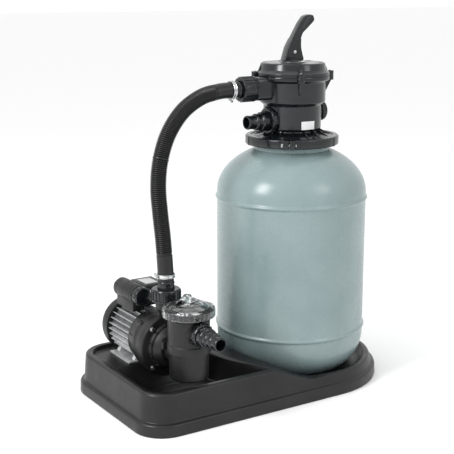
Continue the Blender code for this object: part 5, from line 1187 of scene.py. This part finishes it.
potBore = lathe([(0.0, casing["potTop"] + 0.01), (casing["bore"] + 0.0035, casing["potTop"] + 0.01),
                 (casing["bore"] + 0.0035, shelf), (casing["bore"], shelf),
                 (casing["bore"], casing["potLow"] + 0.006),
                 (0.0, casing["potLow"] + 0.006)], 56)
shifted(potBore, at(motor["x"], casing["potY"], 0))
eye = rod(casing["eye"], casing["potY"], casing["front"] + 0.006, 32)
shifted(eye, axisBack)
riserBore = rod(casing["riserBore"], 0.175, 0.30, 32)
shifted(riserBore, at(motor["x"], riserY, 0))
inletBore = rod(casing["inletBore"], -0.30, casing["potY"], 32)
shifted(inletBore, at(motor["x"], 0, middle("inlet_nut").z, toBack))
body = carved(body, cavity, potBore, eye, riserBore, inletBore)
# two wedges beside the pot's band, and ribs over the volute
for side in (-1, 1):
    wedge = prism([(side * 0.0300, 0.0), (side * 0.0465, -0.0190), (side * 0.0465, -0.0280),
                   (side * 0.0300, -0.0280)],
                  casing["bandLow"] + 0.001, casing["bandHigh"] - 0.001)
    absorb(body, bevelled(wedge, 0.0008), at(motor["x"], casing["voluteEnd"] + 0.004, 0))
ribbed(body, 12, (casing["volute"] - 0.002, -0.0014, casing["voluteEnd"] + 0.016),
       (casing["volute"] + 0.0050, 0.0014, casing["front"] + 0.001), 0.0006, 15, axisBack)
for _, x, y in ringPlaces(4, boltCircle, 45):
    boss = bevelled(rod(0.0080, casing["front"] - 0.0001, casing["front"] + 0.012, 28), 0.0010)
    absorb(body, boss, axisBack @ at(x, y, 0))
addPiece("wetEnd", body, pumpPlastic, stands=["pump_casing"], sharp=35)
for index in range(4):
    node = f"casing_bolt_{index + 1}"
    headFront = low(node).y
    centre = middle(node)
    head = bevelled(rod(0.0050, 0.0, 0.0040, 6), 0.0006)
    absorb(head, bevelled(rod(0.0030, -0.0002, 0.0003, 20), 0.0001))
    absorb(head, lathe([(0.0062, 0.0030), (0.0062, 0.0040), (0.0, 0.0040), (0.0, 0.0030)], 24))
    absorb(head, rod(0.0024, 0.0035, high(node).y - headFront, 16))
    shifted(head, at(centre.x, headFront, centre.z, toBack @ aboutZ(index)))
    addPiece(f"casingBolt{index + 1}", head, zincPlate, stands=[node])
drain = lathe(softened([(0.0, 0.0), (0.0050, 0.0), (0.0050, 0.0030), (0.0074, 0.0030), (0.0074, 0.0070),
                        (0.0, 0.0070)],
                       0.0005), 32)
shifted(drain, at(middle("drain_plug").x, middle("drain_plug").y, low("drain_plug").z))
addPiece("drainPlug", drain, pumpPlastic, stands=["drain_plug"])

# strainer: clear cover, seal and basket
cup = {"x": motor["x"], "y": casing["potY"], "skirt": low("strainer_lid").z, "top": 0.2670, "radius": 0.0580}
grip = high("strainer_lid").z
ringTop = casing["potTop"] + 0.0003 + 0.0025
clear = lathe(softened([(0.0, cup["top"]), (0.0300, cup["top"] - 0.0015), (0.0460, cup["top"] - 0.0065),
                        (0.0555, cup["top"] - 0.0092), (cup["radius"] - 0.0006, cup["top"] - 0.0120),
                        (cup["radius"] - 0.0006, cup["skirt"]), (0.0506, cup["skirt"]),
                        (0.0506, ringTop + 0.0003),
                        (0.0420, ringTop + 0.0003), (0.0300, ringTop + 0.0050), (0.0, cup["top"] - 0.0045)],
                       0.0010), 96)
for turn in (25, 205):
    wedge = prism([(-0.0430, cup["top"] - 0.0080), (0.0040, grip), (0.0130, grip - 0.0006),
                   (0.0200, cup["top"] - 0.0050)],
                  -0.0070, 0.0070)
    shifted(wedge, aboutZ(math.radians(turn)) @ at(0, 0.008, 0)
                        @ Matrix.Rotation(math.radians(90), 4, "X"))
    clear = carved(clear, bevelled(wedge, 0.0016, 3), operation="UNION")
ribbed(clear, 30, (cup["radius"] - 0.0016, -0.0012, cup["skirt"] + 0.0008),
       (cup["radius"], 0.0012, cup["top"] - 0.0135), 0.0005)
shifted(clear, at(cup["x"], cup["y"], 0))
addPiece("clearCover", clear, coverResin, "strainer_cover", ["strainer_lid"])
sealLow, sealHigh = low("lid_o_ring").z, high("lid_o_ring").z
oRing = lathe([(0.0465 + 0.0024 * math.cos(math.radians(a)),
                (sealLow + sealHigh) / 2 + (sealHigh - sealLow) / 2 * math.sin(math.radians(a)))
               for a in range(0, 360, 30)], 72)
shifted(oRing, at(cup["x"], cup["y"], 0))
addPiece("coverSeal", oRing, sealRubber, "lid_carrier", ["lid_o_ring"])
basketLow, basketHigh = low("strainer_basket").z, high("strainer_basket").z
basketRadius, basketRim, wireOuter, wireInner = 0.0373, 0.0420, 0.0360, 0.0346
mesh = ringShape([(basketRim, basketHigh), (basketRim, basketHigh - 0.0020),
                  (basketRadius, basketHigh - 0.0020),
                       (basketRadius, basketHigh - 0.0070), (basketRadius - 0.0016, basketHigh - 0.0070),
                       (basketRadius - 0.0016, basketHigh)], 0.0003, 72)
absorb(mesh, lathe([(0.0345, basketLow), (0.0345, basketLow + 0.0016), (0.0, basketLow + 0.0016),
                    (0.0, basketLow)], 72))
for index in range(44):
    absorb(mesh, block((0.0, -0.0005, basketLow + 0.0005), (0.0012, 0.0005, basketHigh - 0.0050)),
           aboutZ(math.radians(360 * index / 44)) @ at(0.0344, 0, 0))
for index in range(30):
    z = basketLow + 0.0030 + index * (basketHigh - basketLow - 0.009) / 29
    absorb(mesh, lathe([(wireOuter, z), (wireOuter, z + 0.0010), (wireInner, z + 0.0010), (wireInner, z)],
                       72))
shifted(mesh, at(cup["x"], cup["y"], 0))
addPiece("leafBasket", mesh, whitePlastic, "basket", ["strainer_basket"])
addPiece("coolingFan", fan, pumpPlastic, "rotor_shaft", ["cooling_fan"])
print("pump ready")
